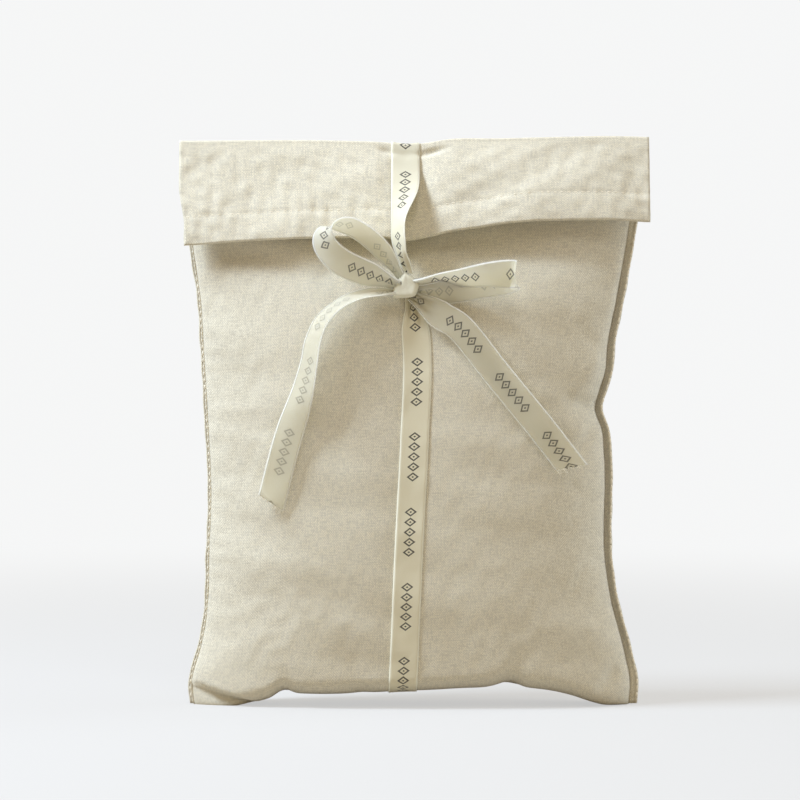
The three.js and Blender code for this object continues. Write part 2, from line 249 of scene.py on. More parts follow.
# Heights of the waves, and puckers and grooves of the cloth, in metres.
BODY_WAVE_HEIGHT = 0.0004
BODY_FINE_HEIGHT = 0.00008
BODY_WAVES_RISE = (0.004, 0.02)
BODY_WAVES_STOP = 0.006
FLAP_WAVE_HEIGHT = 0.0005
FLAP_FINE_HEIGHT = 0.00016
FLAP_CORNER_PULL = 0.0025
EDGE_PUCKER = 0.00016
EDGE_PUCKER_PITCH = 0.0085
HEM_GROOVE = 0.0002
HEM_GROOVE_WIDTH = 0.0008
HEM_SWELL = 0.0002
HEM_SWELL_RISE = 0.004
HEM_SWELL_END = (-0.001, 0.003)
HEM_PUCKER = 0.00012
HEM_PUCKER_PITCH = 0.0057
HEM_PUCKER_REACH = 0.004
HEM_GAP = 0.0001

# The side seams in metres, and their stitched groove in shares of the half depth and half width.
SEAM_END = 0.0004
SEAM_RUN_OUT = 0.004
SEAM_OVERLAP = 0.0003
SEAM_HALF_DEPTH = 0.0012
SEAM_WANDER = 0.00014
SEAM_GROOVE = 0.5
SEAM_GROOVE_AT = 0.35
SEAM_GROOVE_WIDTH = 0.14
RIGHT_SEAM_RECESS = 0.0017
RECESS_RISE = (0.004, 0.03)
RECESS_STOP = (0.04, 0.01)

# Stitches: their share of the pitch, and their radius in metres. Those of the edges also have how far they
# lie to the right of the edge and in front of the seam plane.
HEM_STITCHES = (0.72, 0.00026)
LEFT_STITCHES = (0.0011, 0.00112, 0.7, 0.00028)
RIGHT_STITCHES = (-0.0006, 0.0013, 0.85, 0.0005)

# The pressed corner at the left of the bottom, in metres, and how much of its depth is pressed out.
EAR_X = -0.097
EAR_LENGTH = 0.036
EAR_HEIGHT = 0.0098
EAR_SOFTNESS = 0.0007
EAR_SQUEEZE = 0.64

# The tape and the knot, in metres. Twists and the knot's folds are in radians, the cup's rate in radians
# a metre, and roundness, pleats and lean are plain numbers.
WRAP_PRINT_START = 0.004
FLAP_PRINT_START = 0.006
WRAP_GAP = 0.0002
WRAP_GATHERED_LIFT = 0.0008
BACK_TAPE_X = (-0.0052, -0.0034)
FLAP_GAP = 0.0003
FLAP_TAPE_LEFT_X = -0.0097
FLAP_TAPE_LIFT = (0.0006, 0.0018)
FLAP_TAPE_LEAVE = 0.006
FLAP_TAPE_TWIST = 1.08
KNOT_TAPE_TWIST = 0.6
OFF_FLAP = np.array((0, -0.94, 0.34))
KNOT_X = -0.003
KNOT_Y = -0.0159
KNOT_Z = 0.178
KNOT_HALF_DEPTH = 0.0044
KNOT_HALF_HEIGHT = 0.006
KNOT_OVERLAP = 0.003
KNOT_ENTRY = np.array((KNOT_X - 0.0022, KNOT_Y - 0.001, KNOT_Z + KNOT_HALF_HEIGHT - 0.001))
KNOT_ARRIVE = np.array((0.0004, -0.001, -0.005))
KNOT_RIDGE = 0.0026
KNOT_ROUNDNESS = 0.36
KNOT_FOLD_AT = 0.24
KNOT_FOLD_PITCH = 0.34
PLEAT = 0.0022
PLEAT_WAVES = 2.5
CUP = 0.0006
CUP_RATE = 140
CUT_LENGTH = 0.02
FRAY_ROOT = 0.0004
FRAY_RADIUS = 0.00011
FRAY_LENGTHS = (0.0008, 0.0032)
FRAY_LEAN = 0.5

# The printed lozenges: how many make a group, their half width in metres, and the shares of their outline.
LOZENGES = 5.0
LOZENGE_HALF_WIDTH = 0.0026
LOZENGE_STEEPNESS = 2.2
LOZENGE_HOLE = 0.62
LOZENGE_DOT = 0.22

# Tape materials: name, tone, how much each hides and how much light it lets through. A tone below 1 is
# painted shade, making the same tape darker on the flap, in the knot and in the tails.
TAPES = (
    ("held tape", 1.0, 0.85, 0.1),
    ("flap tape", 0.93, 0.85, 0.3),
    ("knot tape", 0.86, 1.0, 0.1),
    ("loop tape", 1.0, 0.68, 1.0),
    ("tail tape", 0.9, 0.5, 0.8),
)

# Threads of the canvas and the tape in metres, and the noise in them in repeats a metre.
THREAD_RELIEF = 0.00012
THREAD_WANDER = 0.0011
WANDER_SCALE = 260.0
SLUB_SCALES = ((230.0, 1700.0, 1.0), (1700.0, 210.0, 1.0))
FLECK_SCALE = 520.0
FUZZ_SCALE = 1100.0
CANVAS_CLOUD_SCALE = 55.0
TAPE_CLOUD_SCALE = 110.0
TAPE_RIB = 0.0005
TAPE_CORD = 0.0006
SELVEDGE_WIDTH = 0.0005

# Where slubs and flecks begin in their noise and how sharply they rise, and the share of each mark's colour.
SLUB_FROM = 0.55
SLUB_GAIN = 4.0
SLUB_SHARE = 0.3
FLECK_FROM = 0.62
FLECK_GAIN = 9.0
FLECK_SHARE = 0.2
CLOUD_SHARE = 0.25
# Painted shade: the share of a darker, browner tint on the cloth's reverse, which lies in shade under the
# flap and inside the pouch.
REVERSE_SHADE_SHARE = 0.35
SELVEDGE_SHARE = 0.8
INK_SHARE = 0.9
INK_LOST_ON_REVERSE = 0.6

# Tones of the lighter and darker threads, against the colour of the cloth.
SLUB_TONE = 1.16
CANVAS_SHADE = 0.64
TAPE_SHADE = 0.9

# Fixed colours, the places of the lights, and the width in metres and the colour of each.
BACKDROP = (0.92, 0.925, 0.925, 1)
SELVEDGE = (1.0, 0.98, 0.8)
# Painted shade: the darker, browner tint of the cloth's reverse, set to warm the shade under the flap.
REVERSE_SHADE_TINT = (0.74, 0.68, 0.56)
FLECK = (0.33, 0.25, 0.14, 1)
THROUGH_TINT = (1.0, 0.98, 0.9)
FLOOR_SEEN = (0.57, 0.555, 0.53, 1)
FLOOR_BOUNCE = (0.49, 0.44, 0.37, 1)
FILL_TINT = (1.0, 0.78, 0.47)
KEY_FROM = (-0.66, -0.22, 0.78)
KEY_LAMP = (0.45, (0.86, 1.02, 1.26))
TOP_AT = (0.15, -0.1, 1.5)
TOP_LAMP = (1.2, (1.0, 0.95, 0.86))
FRONT_AT = (0.1, -0.85, 1.35)
FRONT_LAMP = (0.4, (1.0, 0.99, 1.0))
SIDE_AT = (1.3, 0.12, 0.5)
SIDE_LAMP = (0.9, (0.84, 1.02, 1.26))

# The floor: half its width and where it fades, in metres, and its share of glow near the pouch.
FLOOR_HALF = 6.0
FLOOR_FADE = (0.2, 0.9)
FLOOR_NEAR_GLOW = 0.58


def metres(name, description, default):
    """A length that a user can change."""
    return FloatProperty(name=name, description=description, default=default, unit="LENGTH")


def number(name, description, default):
    """A plain value that a user can change."""
    return FloatProperty(name=name, description=description, default=default)


def paint(name, description, default):
    """A colour that a user can change."""
    return FloatVectorProperty(name=name, description=description, default=default, subtype="COLOR")


class PouchSizes(bpy.types.PropertyGroup):
    """Sizes of the cloth, the tape and the sewing."""

    flat_width: metres("Flat Width", "Width of the empty pouch", 0.2)
    crest_height: metres("Crest Height", "Height of the top fold", 0.24)
    mouth_height: metres("Mouth Height", "Height of the front panel's hem", 0.2175)
    back_join: metres("Back Join", "Height on the back where the cloth begins to turn over the top", 0.228)
    seam_plane: metres("Seam Plane", "Depth of the plane of the side seams", 0.0045)
    left_seam: metres("Left Seam", "Width of the sewn left edge", 0.0018)
    right_seam: metres("Right Seam", "Width of the sewn right edge", 0.0036)
    cloth: metres("Cloth", "Thickness of the canvas", 0.0009)
    edge: metres("Edge", "Half depth of the pouch beside its seams", 0.00115)
    fold_rise: metres("Fold Rise", "Height of the round turn at the bottom", 0.008)
    foot_share: number("Foot Share", "Share of the half depth that is flat underneath", 0.55)
    flap_reach: metres("Flap Reach", "How far the flap stands forward", 0.0165)
    flap_reach_corner: metres("Flap Corner", "How far its corners stand forward", 0.009)
    hem_depth: metres("Hem Depth", "Depth of the turned hems", 0.011)
    lip: metres("Hem Lip", "Radius of the hem's turned edge", 0.0009)
    tape_width: metres("Tape Width", "Width of the tape", 0.012)
    tape: metres("Tape", "Thickness of the tape", 0.0003)
    gathered: metres("Gathered", "Width of the tape at the knot", 0.0055)
    gather_length: metres("Gather Length", "Length over which the tape spreads", 0.015)
    stitch_pitch: metres("Stitch Pitch", "Distance between stitches", 0.00285)


class PouchLook(bpy.types.PropertyGroup):
    """Colours of the materials and the patterns on them."""

    canvas: paint("Canvas", "Colour of the canvas", (0.97, 0.9, 0.72))
    canvas_dark: paint("Canvas Gaps", "Colour between its threads", (0.62, 0.57, 0.43))
    tape: paint("Tape", "Colour of the tape", (0.98, 0.905, 0.66))
    motif: paint("Motif", "Colour of the printed lozenges", (0.035, 0.033, 0.03))
    thread: paint("Thread", "Colour of the sewing thread", (0.95, 0.88, 0.72))
    weave_pitch: metres("Weave Pitch", "Distance between canvas threads", 0.00056)
    motif_pitch: metres("Motif Pitch", "Distance between groups of lozenges", 0.0315)
    motif_length: metres("Motif Length", "Length of a group of lozenges", 0.021)


class PouchStage(bpy.types.PropertyGroup):
    """The camera, the floor and the light."""

    distance: metres("Distance", "From the camera to the pouch", 1.4)
    elevation: FloatProperty(
        name="Elevation",
        description="Height of the camera as an angle",
        default=math.radians(2),
        unit="ROTATION",
    )
    view_width: metres("View Width", "Width that the picture covers", 0.34)
    target: FloatVectorProperty(
        name="Target", description="Middle of the picture", default=(-0.006, 0.0045, 0.1296), subtype="XYZ"
    )
    key: number("Key", "Power of the key light in watts", 23.6)
    key_distance: metres("Key Distance", "From the key light to the pouch", 1.4)
    top: number("Top", "Power of the light overhead in watts", 2.8)
    front: number("Front", "Power of the light from above in front in watts", 2.7)
    side: number("Side", "Power of the weak light on the right in watts", 8)
    fill: number("Fill", "Strength of the light all round", 0.33)


def smooth(value, low, high):
    """Ease from 0 at low to 1 at high."""
    t = np.clip((value - low) / (high - low), 0, 1)
    return t * t * (3 - 2 * t)


def lerp(low, high, t):
    return low + (high - low) * t


def through(pairs):
    """A smooth curve through pairs of millimetres, read off in metres."""
    at, value = np.array(pairs, float).T * MM
    slope = np.gradient(value, at)

    def curve(where):
        where = np.clip(where, at[0], at[-1])
        i = np.clip(np.searchsorted(at, where), 1, len(at) - 1)
        span = at[i] - at[i - 1]
        t = (where - at[i - 1]) / span
        ease = t * t * (3 - 2 * t)
        leave = t * (1 - t) ** 2 * span * slope[i - 1]
        arrive = t * t * (1 - t) * span * slope[i]
        return lerp(value[i - 1], value[i], ease) + leave - arrive

    return curve


left_draw_in = through(LEFT_DRAW_IN)
right_draw_in = through(RIGHT_DRAW_IN)
front_belly = through(FRONT_BELLY)
back_belly = through(BACK_BELLY)
underside = through(UNDERSIDE)
crest = through(CREST)
flap_depth = through(FLAP_DEPTH)
front_tape_x = through(FRONT_TAPE_LINE)


def creased(creases, x, z):
    """How far creases draw the cloth in at x and z."""
    total = np.zeros(np.broadcast(x, z).shape)
    for (x0, z0), (x1, z1), width, depth in np.array(creases, object):
        run = np.array((x1 - x0, z1 - z0)) * MM
        t = ((x - x0 * MM) * run[0] + (z - z0 * MM) * run[1]) / (run @ run)
        held = np.clip(t, 0, 1)
        away = np.hypot(x - x0 * MM - held * run[0], z - z0 * MM - held * run[1])
        fade = 0.35 + 0.65 * np.sin(np.pi * np.clip(t, 0.1, 0.9))
        total = total + depth * MM * fade * np.exp(-((away / (width * MM)) ** 2))
    return total


def ripple(x, z, shortest, longest, waves, seed):
    """Gentle waves in many directions, of about unit height."""
    chance = random.Random(seed)
    total = 0
    for _ in range(waves):
        turn = chance.uniform(0, math.pi)
        length = chance.uniform(shortest, longest)
        phase = chance.uniform(0, 2 * math.pi)
        total = total + np.sin((x * math.cos(turn) + z * math.sin(turn)) * 2 * math.pi / length + phase)
    return total / math.sqrt(waves)


def left_edge(sizes, z):
    return -sizes.flat_width / 2 + left_draw_in(z)


def right_edge(sizes, z):
    return sizes.flat_width / 2 - right_draw_in(z)


def x_across(sizes, z, s):
    """Place across the panels at height z, for s from -1 at the left seam to 1 at the right one."""
    closed = 1 - smooth(z, sizes.mouth_height, sizes.mouth_height + SEAM_RUN_OUT)
    low = left_edge(sizes, z) + sizes.left_seam * closed
    high = right_edge(sizes, z) - sizes.right_seam * closed
    return lerp(low, high, (s + 1) / 2)


def crown(s):
    """Share of the filling's depth across the pouch: 0 at the seams and 1 in the middle."""
    left = (1 - np.abs(s) ** LEFT_CROWN[0]) ** LEFT_CROWN[1]
    right = (1 - np.abs(s) ** RIGHT_CROWN[0]) ** RIGHT_CROWN[1]
    return np.where(s < 0, left, right)


def depth(sizes, belly, z, s):
    return sizes.edge + (belly(z) - sizes.edge) * crown(s)


def normals(grid):
    """Unit normals of a grid of points, looking out where columns run right and rows run down."""
    across = np.gradient(grid, axis=1)
    down = np.gradient(grid, axis=0)
    normal = np.cross(down, across)
    return normal / np.maximum(np.linalg.norm(normal, axis=2, keepdims=True), 1e-12)


def lengths(points):
    """Distance along a row of points, from its first one."""
    steps = np.linalg.norm(np.diff(points, axis=0), axis=1)
    return np.concatenate([[0], np.cumsum(steps)])


def unit(vectors):
    """The vectors, each made 1 long."""
    return vectors / np.linalg.norm(vectors, axis=-1, keepdims=True)


def sample(grid, row, column):
    """What a grid holds between its rows and columns."""
    i = np.minimum(row.astype(int), grid.shape[0] - 2)
    j = np.minimum(column.astype(int), grid.shape[1] - 2)
    upper = lerp(grid[i, j], grid[i, j + 1], (column - j)[..., None])
    lower = lerp(grid[i + 1, j], grid[i + 1, j + 1], (column - j)[..., None])
    return lerp(upper, lower, (row - i)[..., None])


def across_row(points, out, x):
    """The points at places x across a row of cloth, and the ways they face."""
    at = [np.interp(x, points[:, 0], points[:, k]) for k in range(3)]
    facing = [np.interp(x, points[:, 0], out[:, k]) for k in range(3)]
    return np.stack(at, axis=1), np.stack(facing, axis=1)


def quads(at):
    """The faces of a grid of point numbers."""
    return np.stack([at[:-1, :-1], at[1:, :-1], at[1:, 1:], at[:-1, 1:]], axis=2).reshape(-1, 4)


def solid(name, points, faces):
    """A smoothly shaded piece made of points and faces."""
    mesh = bpy.data.meshes.new(name)
    mesh.from_pydata(points, [], faces)
    mesh.polygons.foreach_set("use_smooth", [True] * len(mesh.polygons))
    mesh.update()
    piece = bpy.data.objects.new(name, mesh)
    bpy.context.scene.collection.objects.link(piece)
    return piece


def lay_flat(piece, across, along):
    """Gives a piece its flat place in metres as its map, the same for both sides of a sheet."""
    mesh = piece.data
    flat = np.stack(np.broadcast_arrays(across, along), axis=2).reshape(-1, 2)
    corners = np.empty(len(mesh.loops), int)
    mesh.loops.foreach_get("vertex_index", corners)
    layer = mesh.uv_layers.new(name="Flat")
    layer.data.foreach_set("uv", flat[corners % len(flat)].astype(np.float32).ravel())


def shell(name, outer, inner, across, along):
    """A closed sheet between two grids of points."""
    rows, columns = outer.shape[:2]
    count = rows * columns
    at = np.arange(count).reshape(rows, columns)
    front = quads(at)
    back = front[:, ::-1] + count
    rim = np.concatenate([at[0, ::-1], at[1:, 0], at[-1, 1:], at[-2:0:-1, -1]])
    after = np.roll(rim, -1)
    sides = np.stack([after, rim, rim + count, after + count], axis=1)
    points = np.concatenate([outer.reshape(-1, 3), inner.reshape(-1, 3)])
    piece = solid(name, points.tolist(), np.concatenate([front, back, sides]).tolist())
    lay_flat(piece, across, along)
    side = piece.data.attributes.new("reverse", "FLOAT", "POINT")
    side.data.foreach_set("value", np.repeat([0.0, 1.0], count).astype(np.float32))
    piece["rows"] = rows
    piece["columns"] = columns
    return piece


def rods(name, rings):
    """Closed rods in one piece, each through its own rings of points."""
    at = np.arange(rings[..., 0].size).reshape(rings.shape[:3])
    after = np.roll(at, -1, axis=2)
    sides = np.stack([at[:, :-1], after[:, :-1], after[:, 1:], at[:, 1:]], axis=3).reshape(-1, 4)
    faces = [*sides.tolist(), *at[:, 0, ::-1].tolist(), *at[:, -1].tolist()]
    return solid(name, rings.reshape(-1, 3).tolist(), faces)


def tube(name, grid, first=0):
    """A closed tube through rings of points, each of which ends on its first point."""
    piece = rods(name, grid[None, :, :-1])
    ring = lengths(grid[grid.shape[0] // 2]) + first
    lay_flat(piece, ring[None, :-1], grid[:, :1, 2])
    return piece


def cloth_shell(name, skin, thickness, across, along):
    """A closed sheet of cloth whose outer side is the given grid."""
    return shell(name, skin, skin - normals(skin) * thickness, across, along)


def skin_of(name):
    """The outer grid of a piece that shell() made."""
    piece = bpy.data.objects.get(name)
    if piece is None:
        raise RuntimeError(name + " has to be built first")
    points = np.empty(len(piece.data.vertices) * 3)
    piece.data.vertices.foreach_get("co", points)
    rows, columns = piece["rows"], piece["columns"]
    return points.reshape(-1, 3)[: rows * columns].reshape(rows, columns, 3)


def spline(points, count):
    """Points spaced along a smooth curve through the given ones."""
    points = np.array(points, float)
    padded = np.concatenate([[2 * points[0] - points[1]], points, [2 * points[-1] - points[-2]]])
    where = np.linspace(0, len(points) - 1, count)
    i = np.minimum(where.astype(int), len(points) - 2)
    t = (where - i)[:, None]
    a, b, c, d = padded[i], padded[i + 1], padded[i + 2], padded[i + 3]
    return 0.5 * (2 * b + (c - a) * t + (2 * a - 5 * b + 4 * c - d) * t**2 + (3 * b - a - 3 * c + d) * t**3)


def material(name):
    made = bpy.data.materials.get(name)
    if made is None:
        raise RuntimeError("the materials have to be built first")
    return made


def dress(piece, made, body):
    """Gives a piece its material and the body it moves with."""
    piece.data.materials.append(material(made))
    if body:
        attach(piece, body)


class Nodes:
    """Builds a node tree a node at a time."""

    def __init__(self, tree):
        self.tree = tree

    def put(self, node, key, value):
        socket = node.inputs[key]
        if isinstance(value, bpy.types.NodeSocket):
            self.tree.links.new(value, socket)
        else:
            socket.default_value = value

    def fill(self, node, **inputs):
        """Sets or links a node's inputs, named with _ for each space."""
        for key, value in inputs.items():
            self.put(node, key.replace("_", " "), value)

    def add(self, kind, settings=None, **inputs):
        node = self.tree.nodes.new(kind)
        for key, value in (settings or {}).items():
            setattr(node, key, value)
        self.fill(node, **inputs)
        return node

    def use(self, tree, **inputs):
        """The outputs of a node group placed in this tree."""
        return self.add("ShaderNodeGroup", {"node_tree": tree}, **inputs).outputs

    def math(self, operation, *values):
        node = self.add("ShaderNodeMath", {"operation": operation})
        for i, value in enumerate(values):
            self.put(node, i, value)
        return node.outputs[0]

    def clamp(self, value):
        return self.math("MINIMUM", self.math("MAXIMUM", value, 0.0), 1.0)

    def noise(self, place, scale, detail):
        return self.add("ShaderNodeTexNoise", Vector=place, Scale=scale, Detail=detail).outputs[0]

    def mix(self, share, low, high):
        node = self.add("ShaderNodeMix", {"data_type": "RGBA"})
        for key, value in ((0, share), (6, low), (7, high)):
            self.put(node, key, value)
        return node.outputs[2]

    def bump(self, height, strength):
        node = self.add("ShaderNodeBump", Strength=strength, Distance=THREAD_RELIEF, Height=height)
        return node.outputs[0]

    def flat(self):
        return self.add("ShaderNodeUVMap", {"uv_map": "Flat"}).outputs[0]

    def reverse(self):
        return self.add("ShaderNodeAttribute", {"attribute_name": "reverse"}).outputs["Fac"]


def group(name, inputs, outputs):
    """An empty node group that is given a flat place and values and puts out values."""
    tree = bpy.data.node_groups.new(name, "ShaderNodeTree")
    tree.interface.new_socket("Flat", in_out="INPUT", socket_type="NodeSocketVector")
    for key in inputs:
        tree.interface.new_socket(key, in_out="INPUT", socket_type="NodeSocketFloat")
    for key in outputs:
        tree.interface.new_socket(key, in_out="OUTPUT", socket_type="NodeSocketFloat")
    n = Nodes(tree)
    return n, n.add("NodeGroupInput").outputs, n.add("NodeGroupOutput")


def weave_group():
    """Height of a plain weave, with thicker threads, small flecks and broad unevenness."""
    n, given, out = group("Plain Weave", ["Pitch"], ["Height", "Slub", "Grain", "Fleck", "Cloud"])
    place = given["Flat"]
    shift = n.math("MULTIPLY", n.math("SUBTRACT", n.noise(place, WANDER_SCALE, 1.0), 0.5), THREAD_WANDER)
    flat = n.add("ShaderNodeSeparateXYZ", Vector=place).outputs
    rate = n.math("DIVIDE", math.pi, given["Pitch"])
    warp = n.math("SINE", n.math("MULTIPLY", n.math("ADD", flat[0], shift), rate))
    weft = n.math("SINE", n.math("MULTIPLY", n.math("SUBTRACT", flat[1], shift), rate))
    thick = []
    for stretch in SLUB_SCALES:
        drawn = n.add("ShaderNodeVectorMath", {"operation": "MULTIPLY"})
        n.put(drawn, 0, place)
        n.put(drawn, 1, stretch)
        thick.append(n.noise(drawn.outputs[0], 1.0, 1.0))
    slub = n.math("MULTIPLY", n.math("SUBTRACT", n.math("MAXIMUM", *thick), SLUB_FROM), SLUB_GAIN)
    fleck = n.math("MULTIPLY", n.math("SUBTRACT", n.noise(place, FLECK_SCALE, 2.0), FLECK_FROM), FLECK_GAIN)
    grain = n.math("ADD", n.math("ADD", *thick), n.noise(place, FUZZ_SCALE, 1.0))
    grain = n.math("MULTIPLY_ADD", n.math("SUBTRACT", grain, 1.5), 2.0, 0.4)
    height = n.math("MULTIPLY_ADD", n.math("MULTIPLY", warp, weft), 0.5, 0.5)
    n.fill(out, Height=height, Slub=n.clamp(slub), Grain=n.clamp(grain), Fleck=n.clamp(fleck))
    n.fill(out, Cloud=n.noise(place, CANVAS_CLOUD_SCALE, 3.0))
    return n.tree


def motif_group():
    """Mask of the printed groups of hollow lozenges along the tape's middle."""
    n, given, out = group("Lozenge Print", ["Pitch", "Length"], ["Mask"])
    flat = n.add("ShaderNodeSeparateXYZ", Vector=given["Flat"]).outputs
    turn = n.math("FRACT", n.math("DIVIDE", flat[1], given["Pitch"]))
    along = n.math("MULTIPLY", turn, given["Pitch"])
    inside = n.math("LESS_THAN", along, given["Length"])
    step = n.math("FRACT", n.math("DIVIDE", along, n.math("DIVIDE", given["Length"], LOZENGES)))
    lengthwise = n.math("MULTIPLY", n.math("ABSOLUTE", n.math("SUBTRACT", step, 0.5)), LOZENGE_STEEPNESS)
    crosswise = n.math("MULTIPLY", n.math("ABSOLUTE", flat[0]), 1 / LOZENGE_HALF_WIDTH)
    place = n.math("ADD", lengthwise, crosswise)
    hollow = n.math("GREATER_THAN", place, LOZENGE_HOLE)
    ring = n.math("MULTIPLY", n.math("LESS_THAN", place, 1.0), hollow)
    dot = n.math("LESS_THAN", place, LOZENGE_DOT)
    n.fill(out, Mask=n.math("MULTIPLY", n.math("MAXIMUM", ring, dot), inside))
    return n.tree


def tape_group():
    """Fine ribs across the tape and its firmer edges."""
    n, given, out = group("Tape Weave", ["Half Width"], ["Height", "Selvedge", "Cloud"])
    flat = n.add("ShaderNodeSeparateXYZ", Vector=given["Flat"]).outputs
    ribs = n.math("SINE", n.math("MULTIPLY", flat[1], 2 * math.pi / TAPE_RIB))
    cords = n.math("SINE", n.math("MULTIPLY", flat[0], 2 * math.pi / TAPE_CORD))
    height = n.math("MULTIPLY_ADD", n.math("MULTIPLY", ribs, cords), 0.5, 0.5)
    inward = n.math("SUBTRACT", given["Half Width"], n.math("ABSOLUTE", flat[0]))
    selvedge = n.math("LESS_THAN", inward, SELVEDGE_WIDTH)
    n.fill(out, Height=height, Selvedge=selvedge, Cloud=n.noise(given["Flat"], TAPE_CLOUD_SCALE, 3.0))
    return n.tree


def opaque(colour, tone=1.0):
    """A colour at a tone, with nothing seen through it."""
    return (*(value * tone for value in colour), 1.0)


def start_material(name):
    made = bpy.data.materials.new(name)
    made.use_nodes = True
    return Nodes(made.node_tree), made.node_tree.nodes["Principled BSDF"]


def canvas_material(look):
    """Undyed canvas with slubs and flecks, and painted shade on its reverse: a darker, browner tint that
    warms the shade under the flap.
    """
    n, shader = start_material("canvas cloth")
    cloth = n.use(weave_group(), Flat=n.flat(), Pitch=look.weave_pitch)
    colour = n.mix(cloth["Height"], opaque(look.canvas_dark), opaque(look.canvas))
    lighter = opaque([min(1, value * SLUB_TONE) for value in look.canvas])
    darker = opaque(look.canvas, CANVAS_SHADE)
    colour = n.mix(n.math("MULTIPLY", cloth["Slub"], SLUB_SHARE), colour, lighter)
    colour = n.mix(n.math("MULTIPLY", cloth["Fleck"], FLECK_SHARE), colour, FLECK)
    colour = n.mix(cloth["Grain"], colour, darker)
    colour = n.mix(n.math("MULTIPLY", cloth["Cloud"], CLOUD_SHARE), colour, darker)
    # Painted shade: the reverse side is tinted darker and browner to warm the shade under the flap.
    reverse_shade = opaque([value * tint for value, tint in zip(look.canvas, REVERSE_SHADE_TINT)])
    colour = n.mix(n.math("MULTIPLY", n.reverse(), REVERSE_SHADE_SHARE), colour, reverse_shade)
    relief = n.math("MULTIPLY_ADD", cloth["Slub"], 0.5, cloth["Height"])
    n.fill(shader, Base_Color=colour, Normal=n.bump(relief, 0.5))
    n.fill(shader, Roughness=0.95, Specular_IOR_Level=0.15, Sheen_Weight=0.15)


def tape_material(name, look, width, ribs, lozenges, tone, cover, through_light):
    """Printed tape that covers what is behind it in part and lets light through in part. A tone below 1
    paints shade into it.
    """
    n, shader = start_material(name)
    place = n.flat()
    cloth = n.use(ribs, Flat=place, Half_Width=width / 2)
    printed = n.use(lozenges, Flat=place, Pitch=look.motif_pitch, Length=look.motif_length)
    strength = n.math("MULTIPLY_ADD", n.reverse(), -INK_LOST_ON_REVERSE, INK_SHARE)
    ink = n.math("MULTIPLY", printed["Mask"], strength)
    # Painted shade: the tone darkens the flap, knot and tail copies of the one tape.
    dull = opaque(look.tape, tone * TAPE_SHADE)
    colour = n.mix(cloth["Height"], dull, opaque(look.tape, tone))
    colour = n.mix(n.math("MULTIPLY", cloth["Cloud"], CLOUD_SHARE), colour, dull)
    colour = n.mix(n.math("MULTIPLY", cloth["Selvedge"], SELVEDGE_SHARE), colour, opaque(SELVEDGE, tone))
    colour = n.mix(ink, colour, opaque(look.motif))
    close = n.math("MAXIMUM", cloth["Selvedge"], ink)
    relief = n.math("ADD", cloth["Height"], cloth["Selvedge"])
    n.fill(shader, Base_Color=colour, Alpha=n.math("MAXIMUM", close, cover), Normal=n.bump(relief, 0.4))
    n.fill(shader, Roughness=0.7, Specular_IOR_Level=0.3, Sheen_Weight=0.2)
    n.fill(shader, Subsurface_Weight=through_light, Subsurface_Radius=THROUGH_TINT, Subsurface_Scale=0.002)


class POUCH_OT_materials(bpy.types.Operator):
    """Makes the canvas, tape and thread materials"""

    bl_idname = "pouch.materials"
    bl_label = "Materials"

    def execute(self, context):
        look = context.scene.pouch_look
        canvas_material(look)
        width = context.scene.pouch_sizes.tape_width
        ribs, lozenges = tape_group(), motif_group()
        for name, tone, cover, through_light in TAPES:
            tape_material(name, look, width, ribs, lozenges, tone, cover, through_light)
        n, shader = start_material("sewing thread")
        n.fill(shader, Base_Color=opaque(look.thread), Roughness=0.85, Specular_IOR_Level=0.2)
        return {"FINISHED"}


